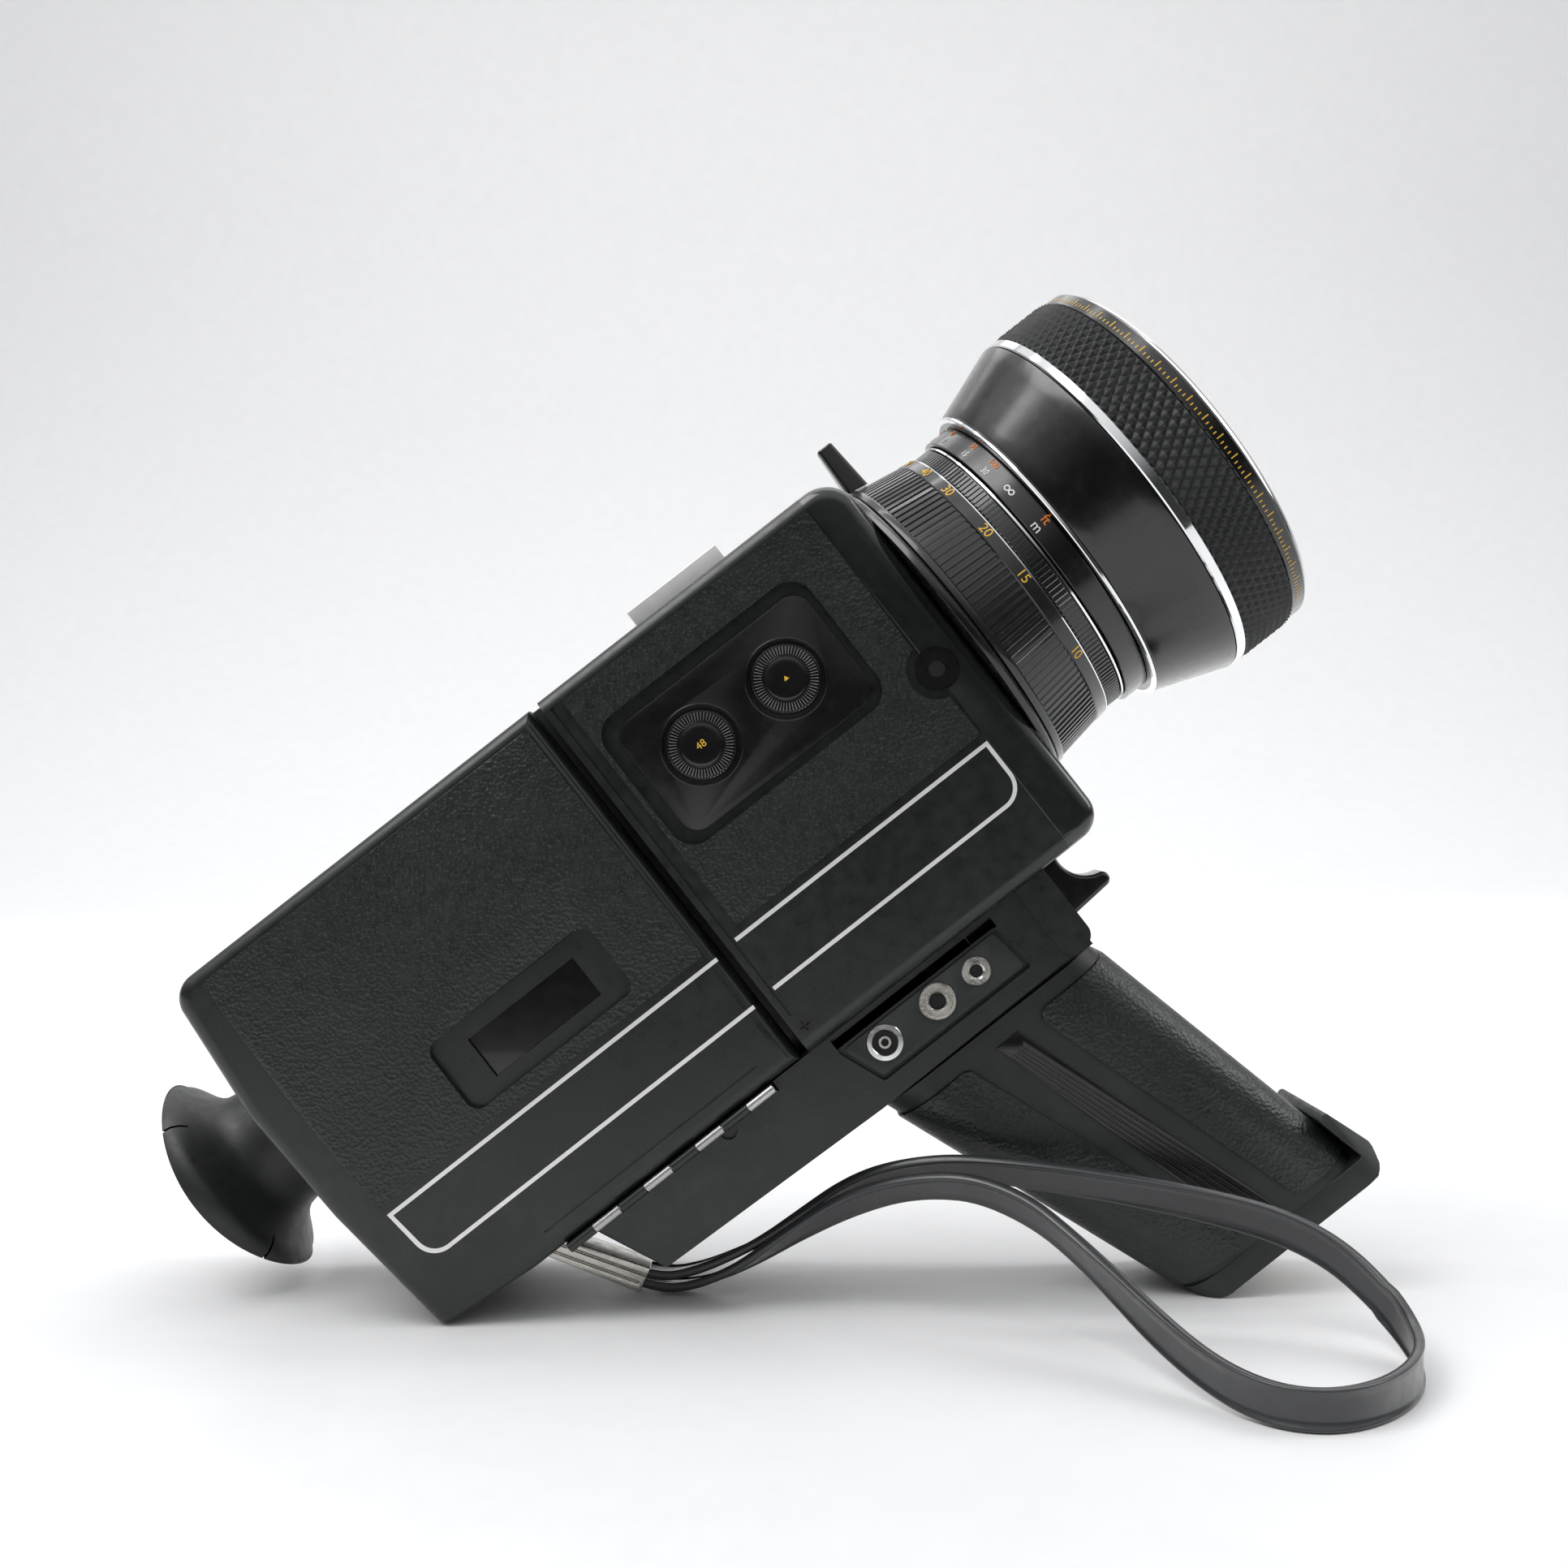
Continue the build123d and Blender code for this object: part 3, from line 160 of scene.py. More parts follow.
BODY = surface("black_body", (0.0105, 0.0125, 0.012), 0.33, grain=("noise", 2600, 0.00003), coat=0.15,
               coat_rough=0.3)
LACQUER = surface("black_metal", (0.012, 0.0125, 0.013), 0.24, worn=0.06, coat=0.5, coat_rough=0.1)
LEATHER = surface("leatherette", (0.0105, 0.0128, 0.0122), 0.38, grain=("cells", 1300, 0.0002), coat=0.15,
                  coat_rough=0.3)
GLOSS = surface("gloss_black", (0.005, 0.005, 0.0055), 0.24, worn=0.06, coat=0.45, coat_rough=0.16)
MATTE = surface("matte_black", (0.02, 0.022, 0.022), 0.46, grain=("noise", 3200, 0.00004))
RUBBER = surface("rubber_black", (0.014, 0.015, 0.015), 0.44, grain=("noise", 4200, 0.00003), sheen=0.05)
INLAY = surface("bright_inlay", (0.86, 0.86, 0.84), 0.35, metallic=0.2, vary=0.06)
CHROME = surface("chrome", (0.86, 0.87, 0.88), 0.09, metallic=1.0, vary=0.05, worn=0.05)
NICKEL = surface("nickel", (0.62, 0.6, 0.55), 0.28, metallic=1.0, vary=0.16, worn=0.1,
                 grain=("noise", 1500, 0.00003))
STEEL = surface("steel", (0.5, 0.5, 0.5), 0.32, metallic=1.0, vary=0.1, streak=(1, 1, 12),
                grain=("noise", 900, 0.00002))
BRASS = surface("brass", (0.78, 0.6, 0.28), 0.25, metallic=1.0, vary=0.12)
DIAL_GREY = surface("dial_ribs", (0.34, 0.34, 0.33), 0.35, metallic=0.8)
DARK_STEEL = surface("dark_steel", (0.05, 0.05, 0.05), 0.35, metallic=0.9)
SATIN = surface("satin_metal", (0.85, 0.85, 0.84), 0.42, metallic=0.35, vary=0.05)
VINYL_TRIM = surface("vinyl_trim", (0.012, 0.0135, 0.0135), 0.24, worn=0.06, coat=0.6, coat_rough=0.14)
GLASS = surface("lens_glass", (0.55, 0.5, 0.72), 0.02, vary=0.1, worn=0.01, glass=0.85, coat=1.0, ior=1.6)
SMOKED = surface("window_plastic", (0.004, 0.004, 0.005), 0.16, worn=0.03, coat=0.5, coat_rough=0.04)
VINYL = surface("strap_vinyl", (0.026, 0.027, 0.029), 0.34, grain=("noise", 2200, 0.00004), worn=0.08,
                coat=0.5, coat_rough=0.16)
CELL = surface("battery_case", (0.2, 0.2, 0.23), 0.35, metallic=0.6)
BOARD = surface("board_green", (0.03, 0.16, 0.07), 0.4, grain=("noise", 700, 0.00005))
YELLOW = surface("yellow_paint", (0.85, 0.5, 0.05), 0.45, vary=0.08)
ORANGE = surface("orange_paint", (0.9, 0.25, 0.03), 0.45, vary=0.08)
WHITE = surface("white_paint", (0.85, 0.85, 0.83), 0.45, vary=0.05)
# painted shade: the black of the discs put inside socket holes
DARK = surface("shadow_black", (0.004, 0.004, 0.004), 0.7)
FLOOR = surface("table_white", (0.86, 0.86, 0.865), 0.5, vary=0.012, worn=0.06)

FINISH = {
    "black_body": BODY, "black_metal": LACQUER, "leatherette": LEATHER, "gloss_black": GLOSS,
    "matte_black": MATTE, "rubber_black": RUBBER, "bright_inlay": INLAY, "chrome": CHROME,
    "nickel": NICKEL, "steel": STEEL, "brass": BRASS, "lens_glass": GLASS, "window_plastic": SMOKED,
    "strap_vinyl": VINYL, "battery_case": CELL, "board_green": BOARD}
SLOT = {s["node"]: s["material_slot"] for s in frame["record"]["subparts"]}
BODY_OF = {n: b for b, members in frame["record"]["behaviour"]["bodies"].items() for n in members}


# ------------------------------------------------------------------ helpers
def link(name, mesh, material, body, stands_for=(), smooth=32.0):
    """A visual piece made of a mesh that is already in the row frame."""
    mesh.materials.clear()
    mesh.materials.append(material)
    for p in mesh.polygons:
        p.use_smooth = True
    mesh.set_sharp_from_angle(angle=radians(smooth))
    o = bpy.data.objects.new(name, mesh)
    scene.collection.objects.link(o)
    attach(o, body)
    if stands_for:
        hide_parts(*stands_for)
    return o


def piece(name, verts, faces, material, body, stands_for=(), smooth=32.0):
    """The same from points of the level frame, in mm as (u, y, v)."""
    mesh = bpy.data.meshes.new(name)
    mesh.from_pydata([at(*p) for p in verts], [], faces)
    bm = bmesh.new()
    bm.from_mesh(mesh)
    bmesh.ops.recalc_face_normals(bm, faces=bm.faces)
    bm.to_mesh(mesh)
    bm.free()
    return link(name, mesh, material, body, stands_for, smooth)


def folded(mesh):
    """The area, in mm2, of triangles that face against their own polygon."""
    mesh.calc_loop_triangles()
    area = 0.0
    for t in mesh.loop_triangles:
        a, b, c = (mesh.vertices[i].co for i in t.vertices)
        normal = (b - a).cross(c - a)
        if normal.dot(mesh.polygons[t.polygon_index].normal) < 0:
            area += normal.length * 0.5e6
    return area


def dressed(node, bevel=0.0, material=None, sharp=30.0, smooth=32.0):
    """A softened copy of a CAD node: flat faces joined again, and its sharp edges rounded.

    Where a wide bevel would fold a face over itself, a narrower one is used.
    """
    for width in (bevel, bevel * 0.5, bevel * 0.25, 0.0):
        mesh = NODES[node].data.copy()
        bm = bmesh.new()
        bm.from_mesh(mesh)
        bmesh.ops.remove_doubles(bm, verts=bm.verts, dist=0.000004)
        bmesh.ops.dissolve_limit(bm, angle_limit=radians(0.6), verts=bm.verts, edges=bm.edges)
        if width:
            hard = [e for e in bm.edges if len(e.link_faces) == 2
                    and e.calc_face_angle(0) > radians(sharp) and e.calc_length() > width / 500]
            bmesh.ops.bevel(bm, geom=hard, offset=width / 1000, offset_type="OFFSET", segments=3,
                            profile=0.5, affect="EDGES", clamp_overlap=False)
        bm.to_mesh(mesh)
        bm.free()
        if folded(mesh) < 0.5:
            break
    mesh.name = node + "_soft"
    if "custom_normal" in mesh.attributes:
        mesh.attributes.remove(mesh.attributes["custom_normal"])
    return link(node + "_soft", mesh, material or FINISH[SLOT[node]], BODY_OF[node],
                (node,), smooth)


def turned(name, outline, material, body, stands_for=(), columns=256, height=None, smooth=32.0):
    """A turned piece: a closed outline of (u, radius) about the lens axis.

    height(i, column) adds to the radius of outline point i.
    """
    verts, faces = [], []
    count = len(outline)
    for c in range(columns):
        a = 2 * pi * c / columns
        for i, (u, r) in enumerate(outline):
            rr = r + (height(i, c) if height else 0.0)
            verts.append((u, -rr * sin(a), rr * cos(a)))
    for c in range(columns):
        d = (c + 1) % columns
        for i in range(count):
            j = (i + 1) % count
            faces.append((c * count + i, c * count + j, d * count + j, d * count + i))
    return piece(name, verts, faces, material, body, stands_for, smooth)


def cross_turned(u, v, profile, columns, lift=None):
    """Points and faces turned about a line across the body at (u, v), from a profile of (radius, y).

    lift(i, column) adds to the y of profile point i.
    """
    verts, faces = [], []
    count = len(profile)
    for c in range(columns):
        a = 2 * pi * c / columns
        for i, (r, y) in enumerate(profile):
            verts.append((u + r * sin(a), y + (lift(i, c) if lift else 0.0), v + r * cos(a)))
    for c in range(columns):
        d = (c + 1) % columns
        for i in range(count - 1):
            faces.append((c * count + i, c * count + i + 1, d * count + i + 1, d * count + i))
    return verts, faces


def dark_disc(name, u, v, radius, y, columns=48):
    """A black disc of painted shade, set where a socket's unlit inside is."""
    verts = [(u + radius * sin(2 * pi * c / columns), y, v + radius * cos(2 * pi * c / columns))
             for c in range(columns)]
    piece(name, verts, [tuple(range(columns))], DARK, "camera")


def number(text, tall, point, along, up, material, body):
    """Small painted figures: point is in the row frame, along is the reading direction."""
    data = bpy.data.curves.new("painted", "FONT")
    data.body = text
    data.size = tall * 1.38 / 1000
    data.align_x = "CENTER"
    data.align_y = "CENTER"
    data.extrude = 0.00004
    data.resolution_u = 4
    holder = bpy.data.objects.new("painted", data)
    scene.collection.objects.link(holder)
    bpy.context.view_layer.update()
    mesh = bpy.data.meshes.new_from_object(holder)
    bpy.data.objects.remove(holder)
    out = along.cross(up)
    name = "figure_%02d" % len([o for o in scene.objects if o.name.startswith("figure_")])
    place = Matrix((along, up, out)).transposed().to_4x4()
    place.translation = point
    mesh.transform(place)
    return link(name, mesh, material, body)


def on_ring(text, tall, u, radius, angle, material, body, slope=0.0):
    """Figures on a ring of the lens, read down its near side, angle in degrees from the top."""
    a = radians(angle)
    out = UPWARD * cos(a) - Vector((0, 1, 0)) * sin(a)
    down = -UPWARD * sin(a) - Vector((0, 1, 0)) * cos(a)
    point = at(u, -radius * sin(a), radius * cos(a)) + out * 0.00002
    return number(text, tall, point, down, (AHEAD + out * slope).normalized(), material, body)


# ------------------------------------------------------------------ wrist strap
STRAP_ROUTE = [
    (-29.6, -3.0, 6.3), (-22.0, -3.4, 3.8), (-14.0, -5.0, 5.4), (-5.6, -7.0, 9.0),
    (2.6, -9.5, 13.3), (11.7, -13.0, 19.4), (20.7, -17.0, 25.6), (29.4, -21.0, 29.6),
    (38.1, -24.0, 31.3), (46.5, -27.0, 31.6), (63.2, -32.5, 30.2), (79.6, -36.5, 28.0),
    (95.0, -40.5, 25.2), (108.0, -45.0, 22.0), (117.5, -50.5, 17.4), (124.2, -59.0, 10.6),
    (126.6, -69.5, 5.4), (124.4, -80.5, 4.2), (118.6, -92.0, 4.0), (110.4, -101.5, 4.0),
    (101.0, -106.6, 4.0), (92.6, -104.6, 4.0), (86.4, -97.2, 4.6), (81.2, -87.0, 6.4),
    (75.6, -75.5, 10.2), (69.9, -65.0, 15.4), (63.5, -54.8, 21.0), (56.2, -45.6, 26.2),
    (46.0, -37.4, 29.4), (36.6, -31.2, 28.8), (27.2, -25.8, 26.4), (17.8, -20.6, 22.0),
    (8.4, -15.6, 15.8), (-1.0, -11.2, 8.8), (-7.6, -8.6, 5.0), (-14.4, -6.2, 2.3),
    (-22.2, -3.8, 1.4), (-30.7, -3.0, 4.4)]
STRAP_WIDE, STRAP_THICK = 7.6, 2.0


def nurbs_line(name, points):
    """The points that a smooth line through space follows."""
    data = bpy.data.curves.new(name, "CURVE")
    data.dimensions = "3D"
    data.resolution_u = 5
    spline = data.splines.new("NURBS")
    spline.points.add(len(points) - 1)
    for p, q in zip(spline.points, points):
        p.co = (q[0] / 1000, q[1] / 1000, q[2] / 1000, 1)
    spline.order_u = 3
    spline.use_endpoint_u = True
    holder = bpy.data.objects.new(name, data)
    scene.collection.objects.link(holder)
    bpy.context.view_layer.update()
    mesh = bpy.data.meshes.new_from_object(holder)
    line = [v.co.copy() for v in mesh.vertices]
    bpy.data.objects.remove(holder)
    return line


def blend_by(t, stops):
    """A value eased between the two (t, value) stops on either side of t."""
    for (t0, a), (t1, b) in zip(stops, stops[1:]):
        if t <= t1:
            k = (t - t0) / (t1 - t0)
            k = k * k * (3 - 2 * k)
            return a + (b - a) * k
    return stops[-1][1]


line = nurbs_line("strap_line", STRAP_ROUTE)
travelled = [0.0]
for p, q in zip(line, line[1:]):
    travelled.append(travelled[-1] + (q - p).length)
STRAP_LONG = travelled[-1]
# how far the strap's width has turned up from lying flat, in degrees, along its length
STRAP_ROLL = [(0.0, 0), (0.06, 4), (0.16, 34), (0.26, 56), (0.36, 74), (0.46, 90), (0.56, 90),
              (0.64, 84), (0.74, 62), (0.84, 38), (0.94, 6), (1.0, 0)]
BEND_FROM, BEND_TO = 0.42, 0.6     # the far loop, where the strap turns back and keeps its side
HALF, DEEP = STRAP_WIDE / 2, STRAP_THICK / 2
SIDE = [(HALF, 0.0), (HALF, DEEP * 0.75), (HALF - 0.2, DEEP), (HALF - 0.65, DEEP),
        (HALF - 0.85, DEEP * 0.72), (HALF * 0.4, DEEP * 0.66)]
RIM = (SIDE + [(-w, h) for w, h in reversed(SIDE)][:-1] + [(-w, -h) for w, h in SIDE]
       + [(w, -h) for w, h in reversed(SIDE)][:-1])
verts, faces = [], []
for i, p in enumerate(line):
    ahead = (line[min(i + 1, len(line) - 1)] - line[max(i - 1, 0)]).normalized()
    t = travelled[i] / STRAP_LONG
    roll = radians(blend_by(t, STRAP_ROLL))
    level = Vector((0, 0, 1)).cross(ahead).normalized()
    if level.y >= 0 and not BEND_FROM < t < BEND_TO:
        level = -level
    lift = ahead.cross(level).normalized()
    lift = lift if lift.z > 0 else -lift
    wide = level * cos(roll) + lift * sin(roll)
    thin = ahead.cross(wide).normalized()
    for w, h in RIM:
        verts.append(p + (wide * w + thin * h) / 1000)
n = len(RIM)
for i in range(len(line) - 1):
    for k in range(n):
        m = (k + 1) % n
        faces.append((i * n + k, i * n + m, (i + 1) * n + m, (i + 1) * n + k))
faces.append(tuple(range(n - 1, -1, -1)))
faces.append(tuple((len(line) - 1) * n + k for k in range(n)))
mesh = bpy.data.meshes.new("strap_band")
mesh.from_pydata(verts, [], faces)
strap = link("strap_band", mesh, VINYL, "camera", ("strap",), smooth=60)

# ------------------------------------------------------------------ lens
INSIDE = 30.06                     # bore of the rings that turn on the lens tube
ZOOM_SLOPE = -0.155                # fall of the zoom ring's band towards the front
SCALE_R = 36.84
FEET_U, METRES_U = 27.9, 25.4


def knurl(first, last, pitch_columns, depth):
    """Height of straight axial ribs between two outline points."""
    def height(i, c):
        if not first <= i <= last:
            return 0.0
        return -depth if c % pitch_columns < pitch_columns * 0.4 else 0.0
    return height


turned("zoom_ring_look",
       [(2.3, INSIDE), (18.5, INSIDE), (18.5, 35.9), (18.2, 36.2), (15.5, 36.62), (15.2, 36.45),
        (15.1, 36.5), (4.3, 38.3), (4.2, 38.45), (3.9, 38.75), (3.4, 38.9), (2.5, 38.9), (2.3, 38.7)],
       LACQUER, "zoom", ("zoom_ring",), columns=1040, height=knurl(6, 7, 8, 0.3),
       smooth=20)
dressed("zoom_lever", 0.35, GLOSS)
for figure, angle in (("50", 14), ("40", 33), ("30", 49), ("20", 71), ("15", 91), ("10", 124)):
    on_ring(figure, 2.3, 16.85, 36.43, angle, YELLOW, "zoom", slope=ZOOM_SLOPE)

turned("lens_tube_look",
       [(-14, 19), (4, 19), (4, 27.5), (29, 27.5), (29, 30), (23.4, 30), (23.4, 35.75), (23.3, 35.9),
        (22.9, 35.9), (22.8, 35.7), (22.7, 35.2), (22.5, 35.15), (22.45, 35.7), (19.1, 35.7),
        (18.8, 35.5), (18.8, 30), (2, 30), (2, 22), (-14, 22)],
       LACQUER, "camera", ("lens_tube",), columns=1080, height=knurl(12, 13, 6, 0.22),
       smooth=20)
turned("thin_line", [(22.85, 35.6), (22.85, 35.93), (23.3, 35.93), (23.4, 35.8), (23.4, 35.6)], CHROME,
       "camera")
turned("zoom_line", [(18.25, 36.0), (18.2, 36.24), (18.45, 36.2), (18.55, 36.0)], CHROME, "zoom")
turned("scale_ring_look", [(23.7, INSIDE), (29.2, INSIDE), (29.2, 36.5), (29.0, 36.8), (23.9, 36.8),
                           (23.7, 36.6)], GLOSS, "focus", ("scale_ring",))
for feet, metres, angle in (("50", "15", 40), ("100", "30", 53), ("30", "10", 22), ("20", "6", 6)):
    on_ring(feet, 1.5, FEET_U, SCALE_R, angle, ORANGE, "focus")
    on_ring(metres, 1.5, METRES_U, SCALE_R, angle, WHITE, "focus")
on_ring("∞", 2.6, 26.2, SCALE_R, 65, WHITE, "focus")
on_ring("ft", 2.3, FEET_U, SCALE_R, 81, ORANGE, "focus")
on_ring("m", 2.3, METRES_U, SCALE_R, 81, WHITE, "focus")
turned("cone_look",
       [(29.2, 32), (30.2, 32), (47.5, 40.5), (66, 41.6), (66, 43.4), (63.3, 43.4), (50, 43.4),
        (47.5, 43.4), (47.5, 45.3), (47.2, 45.55), (46.8, 45.5), (44, 44.45), (40, 42.95), (36, 41.5),
        (33, 40.4), (31.0, 39.7), (30.4, 39.4), (30.2, 39.0), (30.2, 38.2), (29.2, 38.2)],
       GLOSS, "focus", ("focus_cone",), smooth=25)
turned("chrome_ring_rear", [(29.3, 38.2), (30.2, 38.2), (30.2, 39.2), (30.0, 39.4), (29.5, 39.4),
                            (29.3, 39.2)], CHROME, "focus", ("focus_chrome_rings",))
turned("chrome_ring_front", [(47.6, 43.4), (50.0, 43.4), (50.0, 45.5), (49.7, 45.75), (47.9, 45.75),
                             (47.6, 45.5)], CHROME, "focus", ("focus_chrome_rings",))

ROWS, PER_ROW, AROUND, PER_CELL = 7, 6, 112, 10
RUBBER_U0, RUBBER_U1 = 50.1, 63.2
PYRAMID = 0.85
grip_outline = [(RUBBER_U0 + (RUBBER_U1 - RUBBER_U0) * i / (ROWS * PER_ROW), 45.1)
                for i in range(ROWS * PER_ROW + 1)]
grip_outline = [(RUBBER_U0, 43.5)] + grip_outline + [(RUBBER_U1, 43.5)]


def diamonds(i, c):
    """Pyramids in offset rows, low between and at both ends of the band."""
    i -= 1
    if i <= 0 or i >= ROWS * PER_ROW:
        return 0.0
    row = i / PER_ROW
    col = c / PER_CELL
    best = 0.0
    for r in (int(row), int(row) + 1):
        shift = 0.5 * (r % 2)
        near = abs(((col + shift) % 1.0) - 0.5) * 2
        best = max(best, 1 - near - abs(row - r))
    return PYRAMID * max(0.0, best)


turned("focus_grip_look", grip_outline, RUBBER, "focus", ("focus_grip",),
       columns=AROUND * PER_CELL, height=diamonds, smooth=14)
turned("name_ring_look",
       [(63.3, 43.4), (66.0, 43.4), (66.0, 38.0), (62.0, 36.6), (62.0, 35.6), (67.6, 38.6), (68.3, 41.8),
        (68.4, 42.2), (68.3, 43.3), (67.9, 44.0), (67.2, 44.5), (67.0, 45.0), (66.7, 45.3), (63.5, 45.35),
        (63.3, 45.2)],
       GLOSS, "focus", ("name_ring",), smooth=25)
turned("name_ring_edge", [(67.2, 44.0), (67.3, 44.55), (67.9, 44.15), (68.45, 43.3), (68.2, 43.2)],
       CHROME, "focus")
MARK_R, MARK_U = 45.4, 64.2
verts, faces = [], []
for tick in range(96):
    a0 = radians(4 + tick * 1.6)
    a1 = a0 + 0.28 / MARK_R
    tall = 1.7 if tick % 4 == 0 else 0.8
    base = len(verts)
    for a, u in ((a0, MARK_U), (a1, MARK_U), (a1, MARK_U + tall), (a0, MARK_U + tall)):
        verts.append((u, -MARK_R * sin(a), MARK_R * cos(a)))
    faces.append((base, base + 1, base + 2, base + 3))
piece("name_ring_marks", verts, faces, YELLOW, "focus")

GLASS_R, BULGE = 40.6, 4.4         # the front element's rim, and how far each face bulges
FRONT_R = (GLASS_R ** 2 + BULGE ** 2) / (2 * BULGE)
RADII = (40.5, 37, 33, 28, 22, 16, 10, 5, 1.2)


def bulge(r):
    return sqrt(FRONT_R ** 2 - r * r) - (FRONT_R - BULGE)


front = [(58.6 + bulge(r), r) for r in RADII]
back = [(56.6 - bulge(r), r) for r in reversed(RADII)]
turned("front_glass", front + back, GLASS, "focus", ("front_element",), columns=160)

# ------------------------------------------------------------------ eyecup
EYE_V, EYE_Y = 2.4, 15.0
CUP = [(-188.0, 12.5), (-188.0, 14.6), (-188.4, 15.0), (-192, 15.1), (-196, 15.4), (-199.0, 16.0),
       (-201.0, 17.4), (-203.0, 19.8), (-204.6, 22.4), (-205.8, 24.4), (-207.2, 25.5), (-209, 25.9),
       (-212.0, 25.9), (-212.0, 24.3), (-208.4, 24.2), (-207.2, 23.4), (-206.0, 21.6), (-204.6, 18.8),
       (-203.0, 16.4), (-200.5, 14.0), (-197.1, 12.5)]


def cup_point(u, r, a):
    """A point of the eyecup, whose rim is trimmed to a shallow curve across the eye."""
    y, v = EYE_Y - r * sin(a), EYE_V + r * cos(a)
    limit = -206.9 - 4.6 * ((r * sin(a)) / 27.0) ** 2
    return (max(u, limit), y, v)


verts, faces = [], []
columns, count = 256, len(CUP)
slits = {32, 96, 160, 224}         # columns left open, as four thin cuts in the flare
for c in range(columns):
    for u, r in CUP:
        verts.append(cup_point(u, r, 2 * pi * c / columns))
for c in range(columns):
    d = (c + 1) % columns
    for i in range(count):
        if c in slits and 8 <= i <= 16:
            continue
        j = (i + 1) % count
        faces.append((c * count + i, c * count + j, d * count + j, d * count + i))
piece("eyecup_look", verts, faces, RUBBER, "camera", ("eyecup",), smooth=40)

# ------------------------------------------------------------------ dials
DIALS = (("speed_dial", -58.5), ("mode_dial", -35.6))
DIAL_V = 13.3
RIBS, STEPS = 60, 4
DIAL_PROFILE = [(0.6, -31.9), (2.0, -31.9), (3.6, -31.9), (4.3, -31.88), (4.5, -31.8), (4.55, -31.45),
                (4.9, -31.4), (5.1, -31.6), (6.9, -31.6), (7.2, -31.5), (7.4, -31.3), (7.4, -30.2),
                (7.3, -30.0), (2.5, -30.0), (2.5, -24.0)]


def ribbed(i, c):
    """Depth of the grooves between a dial's ribs."""
    return 0.35 if c % STEPS >= 2 and i in (7, 8, 9) else 0.0


for node, dial_u in DIALS:
    verts, faces = cross_turned(dial_u, DIAL_V, DIAL_PROFILE, RIBS * STEPS, ribbed)
    count = len(DIAL_PROFILE)
    faces.append(tuple(c * count for c in range(RIBS * STEPS)))
    faces.append(tuple(c * count + count - 1 for c in range(RIBS * STEPS)))
    piece(node + "_look", verts, faces, GLOSS, BODY_OF[node], (node,), smooth=25)

# ------------------------------------------------------------------ body pieces with softened edges
for node, bevel in (
        ("rear_housing", 0.25), ("front_housing", 0.3), ("film_door", 0.3), ("base_housing", 0.4),
        ("door_leather", 0.45), ("front_leather", 0.45), ("closed_side_leather", 0.35),
        ("grip_shell_right", 0.0), ("grip_shell_left", 0.0), ("grip_leather", 0.3), ("grip_base", 0.5),
        ("grip_ribbed_strips", 0.08), ("trigger", 0.5), ("strap_bracket", 0.2), ("dial_plate", 0.12),
        ("jack_panel", 0.1), ("door_stripe", 0.0), ("front_stripe", 0.0), ("door_window", 0.1),
        ("lens_mount_ring", 0.15), ("door_latch", 0.15), ("finder_tube", 0.15)):
    dressed(node, bevel)
dressed("front_bezel", 0.3, VINYL_TRIM)
dressed("accessory_shoe", 0.25, SATIN)
dressed("hinge_door_leaf", 0.0, BODY)
dressed("hinge_body_leaf", 0.0, STEEL)
dressed("cable_release_socket", 0.4, GLOSS)
dressed("body_screws", 0.0, DARK_STEEL)
# the CAD nodes that stay in view, inside and out, take the same finishes
for node in NODES:
    NODES[node].data.materials.clear()
    NODES[node].data.materials.append(FINISH[SLOT[node]])

# figures and bright ribs on the dials
number("48", 1.7, at(-58.5, -31.93, DIAL_V), AHEAD, UPWARD, YELLOW, "speed_control")
for node, dial_u in DIALS:
    verts, faces = [], []
    for rib in range(RIBS):
        a = 2 * pi * (rib + 0.12) / RIBS
        out, side = (sin(a), cos(a)), (cos(a), -sin(a))
        base = len(verts)
        for r, w in ((5.2, -0.1), (6.95, -0.13), (6.95, 0.13), (5.2, 0.1)):
            verts.append((dial_u + out[0] * r + side[0] * w, -31.63, DIAL_V + out[1] * r + side[1] * w))
        faces.append((base, base + 1, base + 2, base + 3))
    piece(node + "_ribs", verts, faces, DIAL_GREY, BODY_OF[node])
verts = [(-35.6 + 0.7 * sin(2 * pi * k / 3), -31.94, DIAL_V + 0.7 * cos(2 * pi * k / 3)) for k in range(3)]
piece("mode_dial_mark", verts, [(0, 1, 2)], YELLOW, "mode_control")

# sockets: bright rims, and black discs of painted shade for their unlit insides
SOCKET_V = -61.4
POWER_U, EARPHONE_U, REMOTE_U = -66.9, -52.5, -41.9
for node, u, metal, hole, rims in (
        ("power_socket", POWER_U, CHROME, 2.76,
         [(4.1, -25.2), (4.1, -26.2), (3.9, -26.4), (2.95, -26.4), (2.75, -26.2), (2.75, -25.2)]),
        ("earphone_jack", EARPHONE_U, NICKEL, 1.86,
         [(4.1, -25.2), (4.1, -26.4), (3.9, -26.6), (3.3, -26.6), (3.15, -26.3), (2.85, -26.3),
          (2.7, -26.55), (2.1, -26.55), (1.85, -26.3), (1.85, -25.2)]),
        ("remote_jack", REMOTE_U, NICKEL, 1.42,
         [(3.2, -25.2), (3.2, -26.4), (3.0, -26.6), (1.9, -26.6), (1.45, -26.2), (1.4, -25.2)])):
    verts, faces = cross_turned(u, SOCKET_V, rims, 72)
    piece(node + "_rim", verts, faces, metal, "camera", (node,))
    dark_disc(node + "_inside", u, SOCKET_V, hole, -25.6)
verts, faces = cross_turned(POWER_U, SOCKET_V,
                            [(1.35, -25.7), (1.35, -26.1), (0.85, -26.1), (0.85, -25.7)], 48)
piece("power_socket_pin", verts, faces, NICKEL, "camera")
# the cable release socket's unlit inside, as a disc of painted shade
dark_disc("release_inside", -9.0, -4.8, 1.85, -30.9)

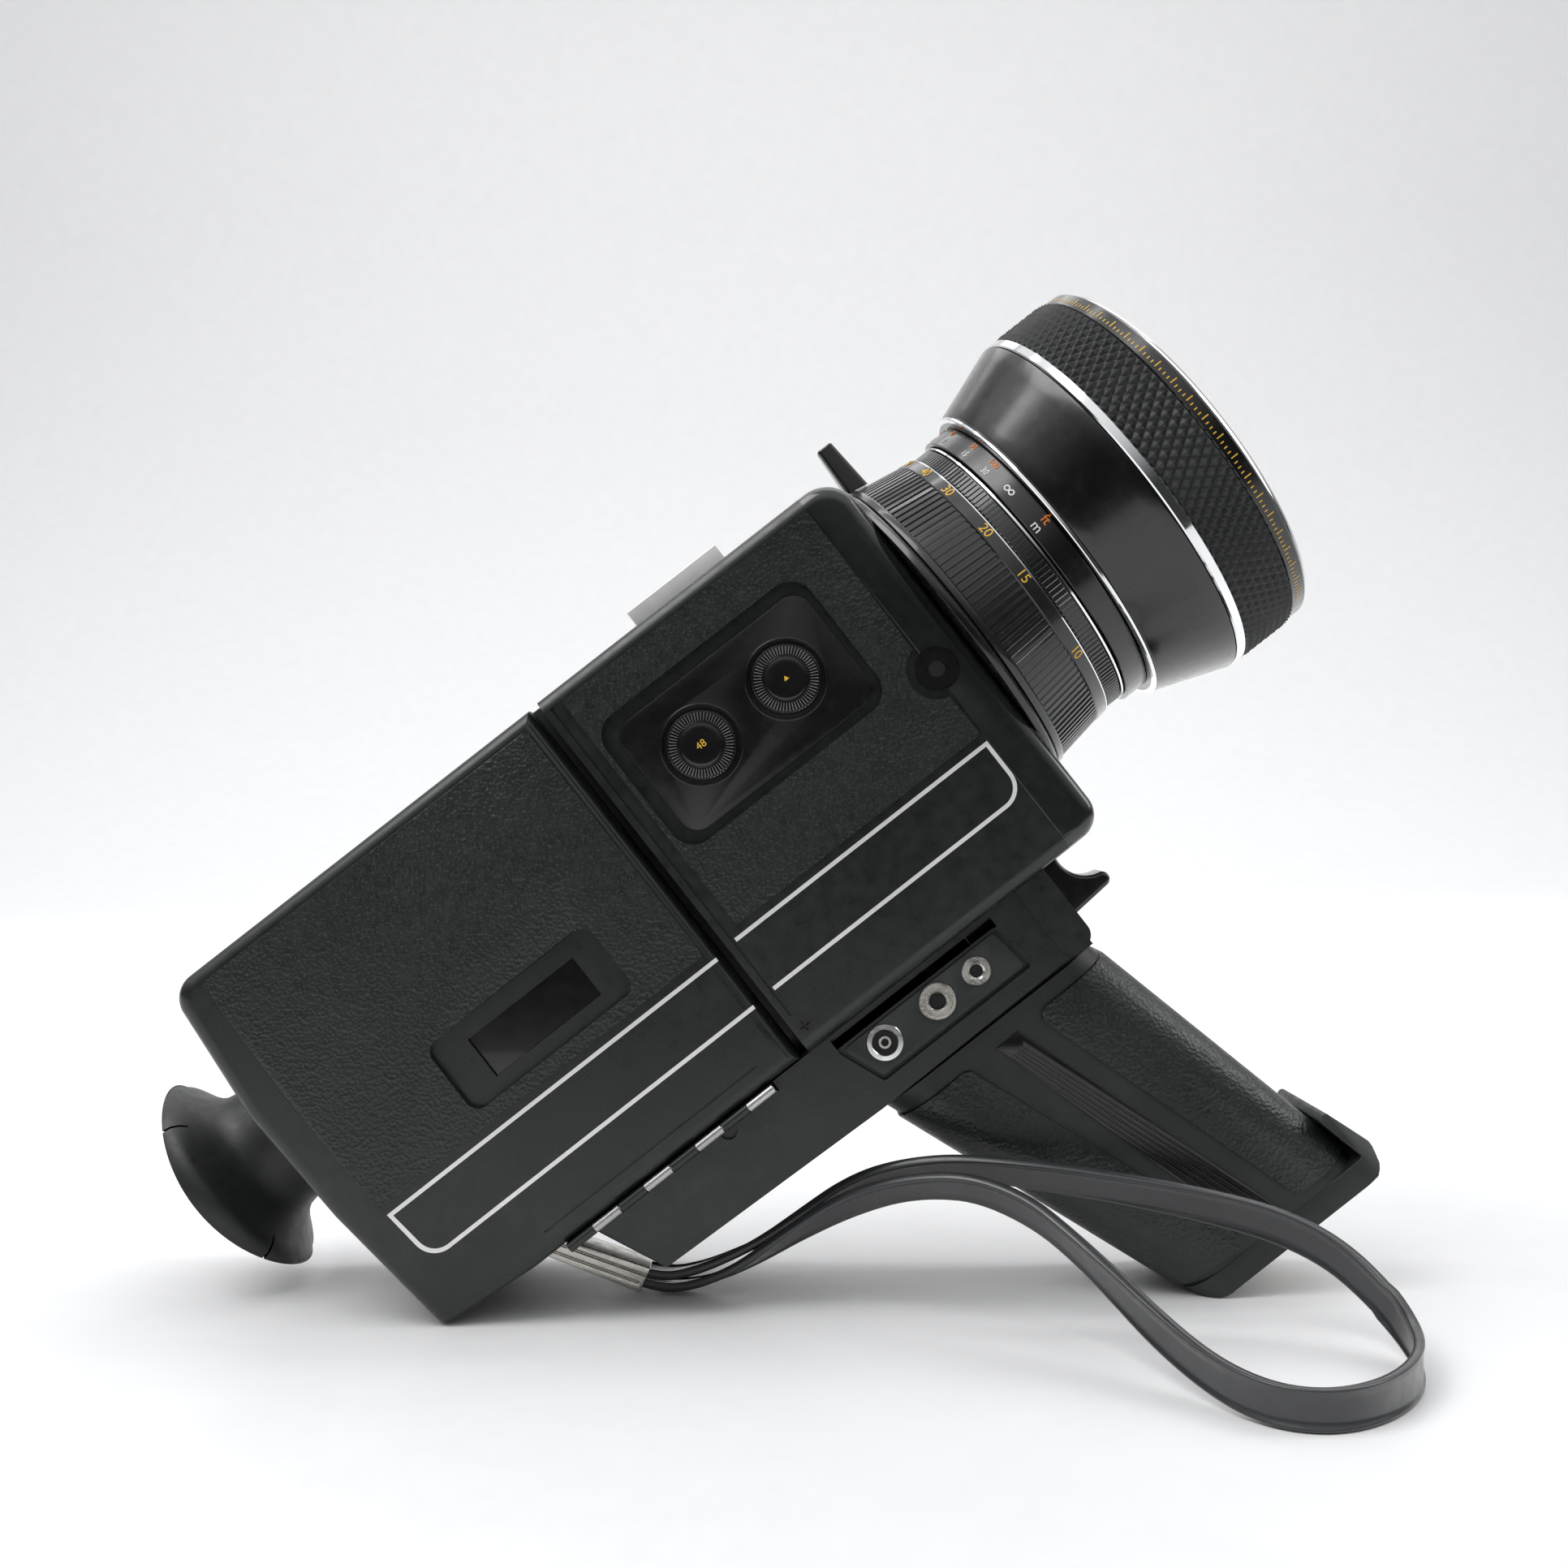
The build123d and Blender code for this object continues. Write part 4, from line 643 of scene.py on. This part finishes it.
# ------------------------------------------------------------------ table, backdrop and light
SWEEP, BACK, NEAR, TALL, HALF_STAGE = 1.0, 1.5, -0.46, 4.0, 4.5      # metres
line_up = [(NEAR, 0.0), (BACK, 0.0)]
line_up += [(BACK + SWEEP * sin(radians(k * 6)), SWEEP - SWEEP * cos(radians(k * 6))) for k in range(1, 16)]
line_up += [(BACK + SWEEP, TALL)]
verts = [(x, y, z) for y, z in line_up for x in (-HALF_STAGE, HALF_STAGE)]
faces = [(2 * k, 2 * k + 1, 2 * k + 3, 2 * k + 2) for k in range(len(line_up) - 1)]
mesh = bpy.data.meshes.new("table_top")
mesh.from_pydata(verts, [], faces)
for p in mesh.polygons:
    p.use_smooth = True
mesh.materials.append(FLOOR)
table_top = bpy.data.objects.new("table_top", mesh)
scene.collection.objects.link(table_top)

world = bpy.data.worlds.new("studio")
scene.world = world
world.use_nodes = True
sky, wires = world.node_tree.nodes, world.node_tree.links
where = sky.new("ShaderNodeTexCoord")
parts = sky.new("ShaderNodeSeparateXYZ")
wires.new(where.outputs["Generated"], parts.inputs["Vector"])
rise = sky.new("ShaderNodeMapRange")
rise.interpolation_type = "SMOOTHSTEP"
rise.inputs["From Min"].default_value = 0.05
rise.inputs["From Max"].default_value = 0.75
rise.inputs["To Min"].default_value = 0.04
rise.inputs["To Max"].default_value = 0.95
wires.new(parts.outputs["Z"], rise.inputs["Value"])
wires.new(rise.outputs["Result"], sky["Background"].inputs["Strength"])
sky["Background"].inputs["Color"].default_value = (0.96, 0.97, 0.98, 1)


def panel(name, place, aim, wide, high, power):
    """A large soft light aimed at a point."""
    data = bpy.data.lights.new(name, "AREA")
    data.shape = "RECTANGLE"
    data.size, data.size_y = wide, high
    data.energy = power
    o = bpy.data.objects.new(name, data)
    o.location = place
    o.rotation_euler = (Vector(aim) - Vector(place)).to_track_quat("-Z", "Y").to_euler()
    scene.collection.objects.link(o)


panel("key", (-0.7, -0.35, 1.2), (0, 0, 0.1), 1.0, 0.7, 9)
panel("side", (1.3, 0.1, 0.9), (0.05, 0, 0.1), 0.5, 0.9, 4.5)
panel("back", (0.0, 1.3, 1.5), (0, 0.3, 0.1), 2.0, 0.6, 4.5)
panel("wall", (0.0, 0.4, 1.8), (0, 2.4, 0.7), 3.0, 0.5, 23)

scene.view_settings.view_transform = "Standard"
scene.view_settings.look = "None"
scene.view_settings.exposure = 0.0
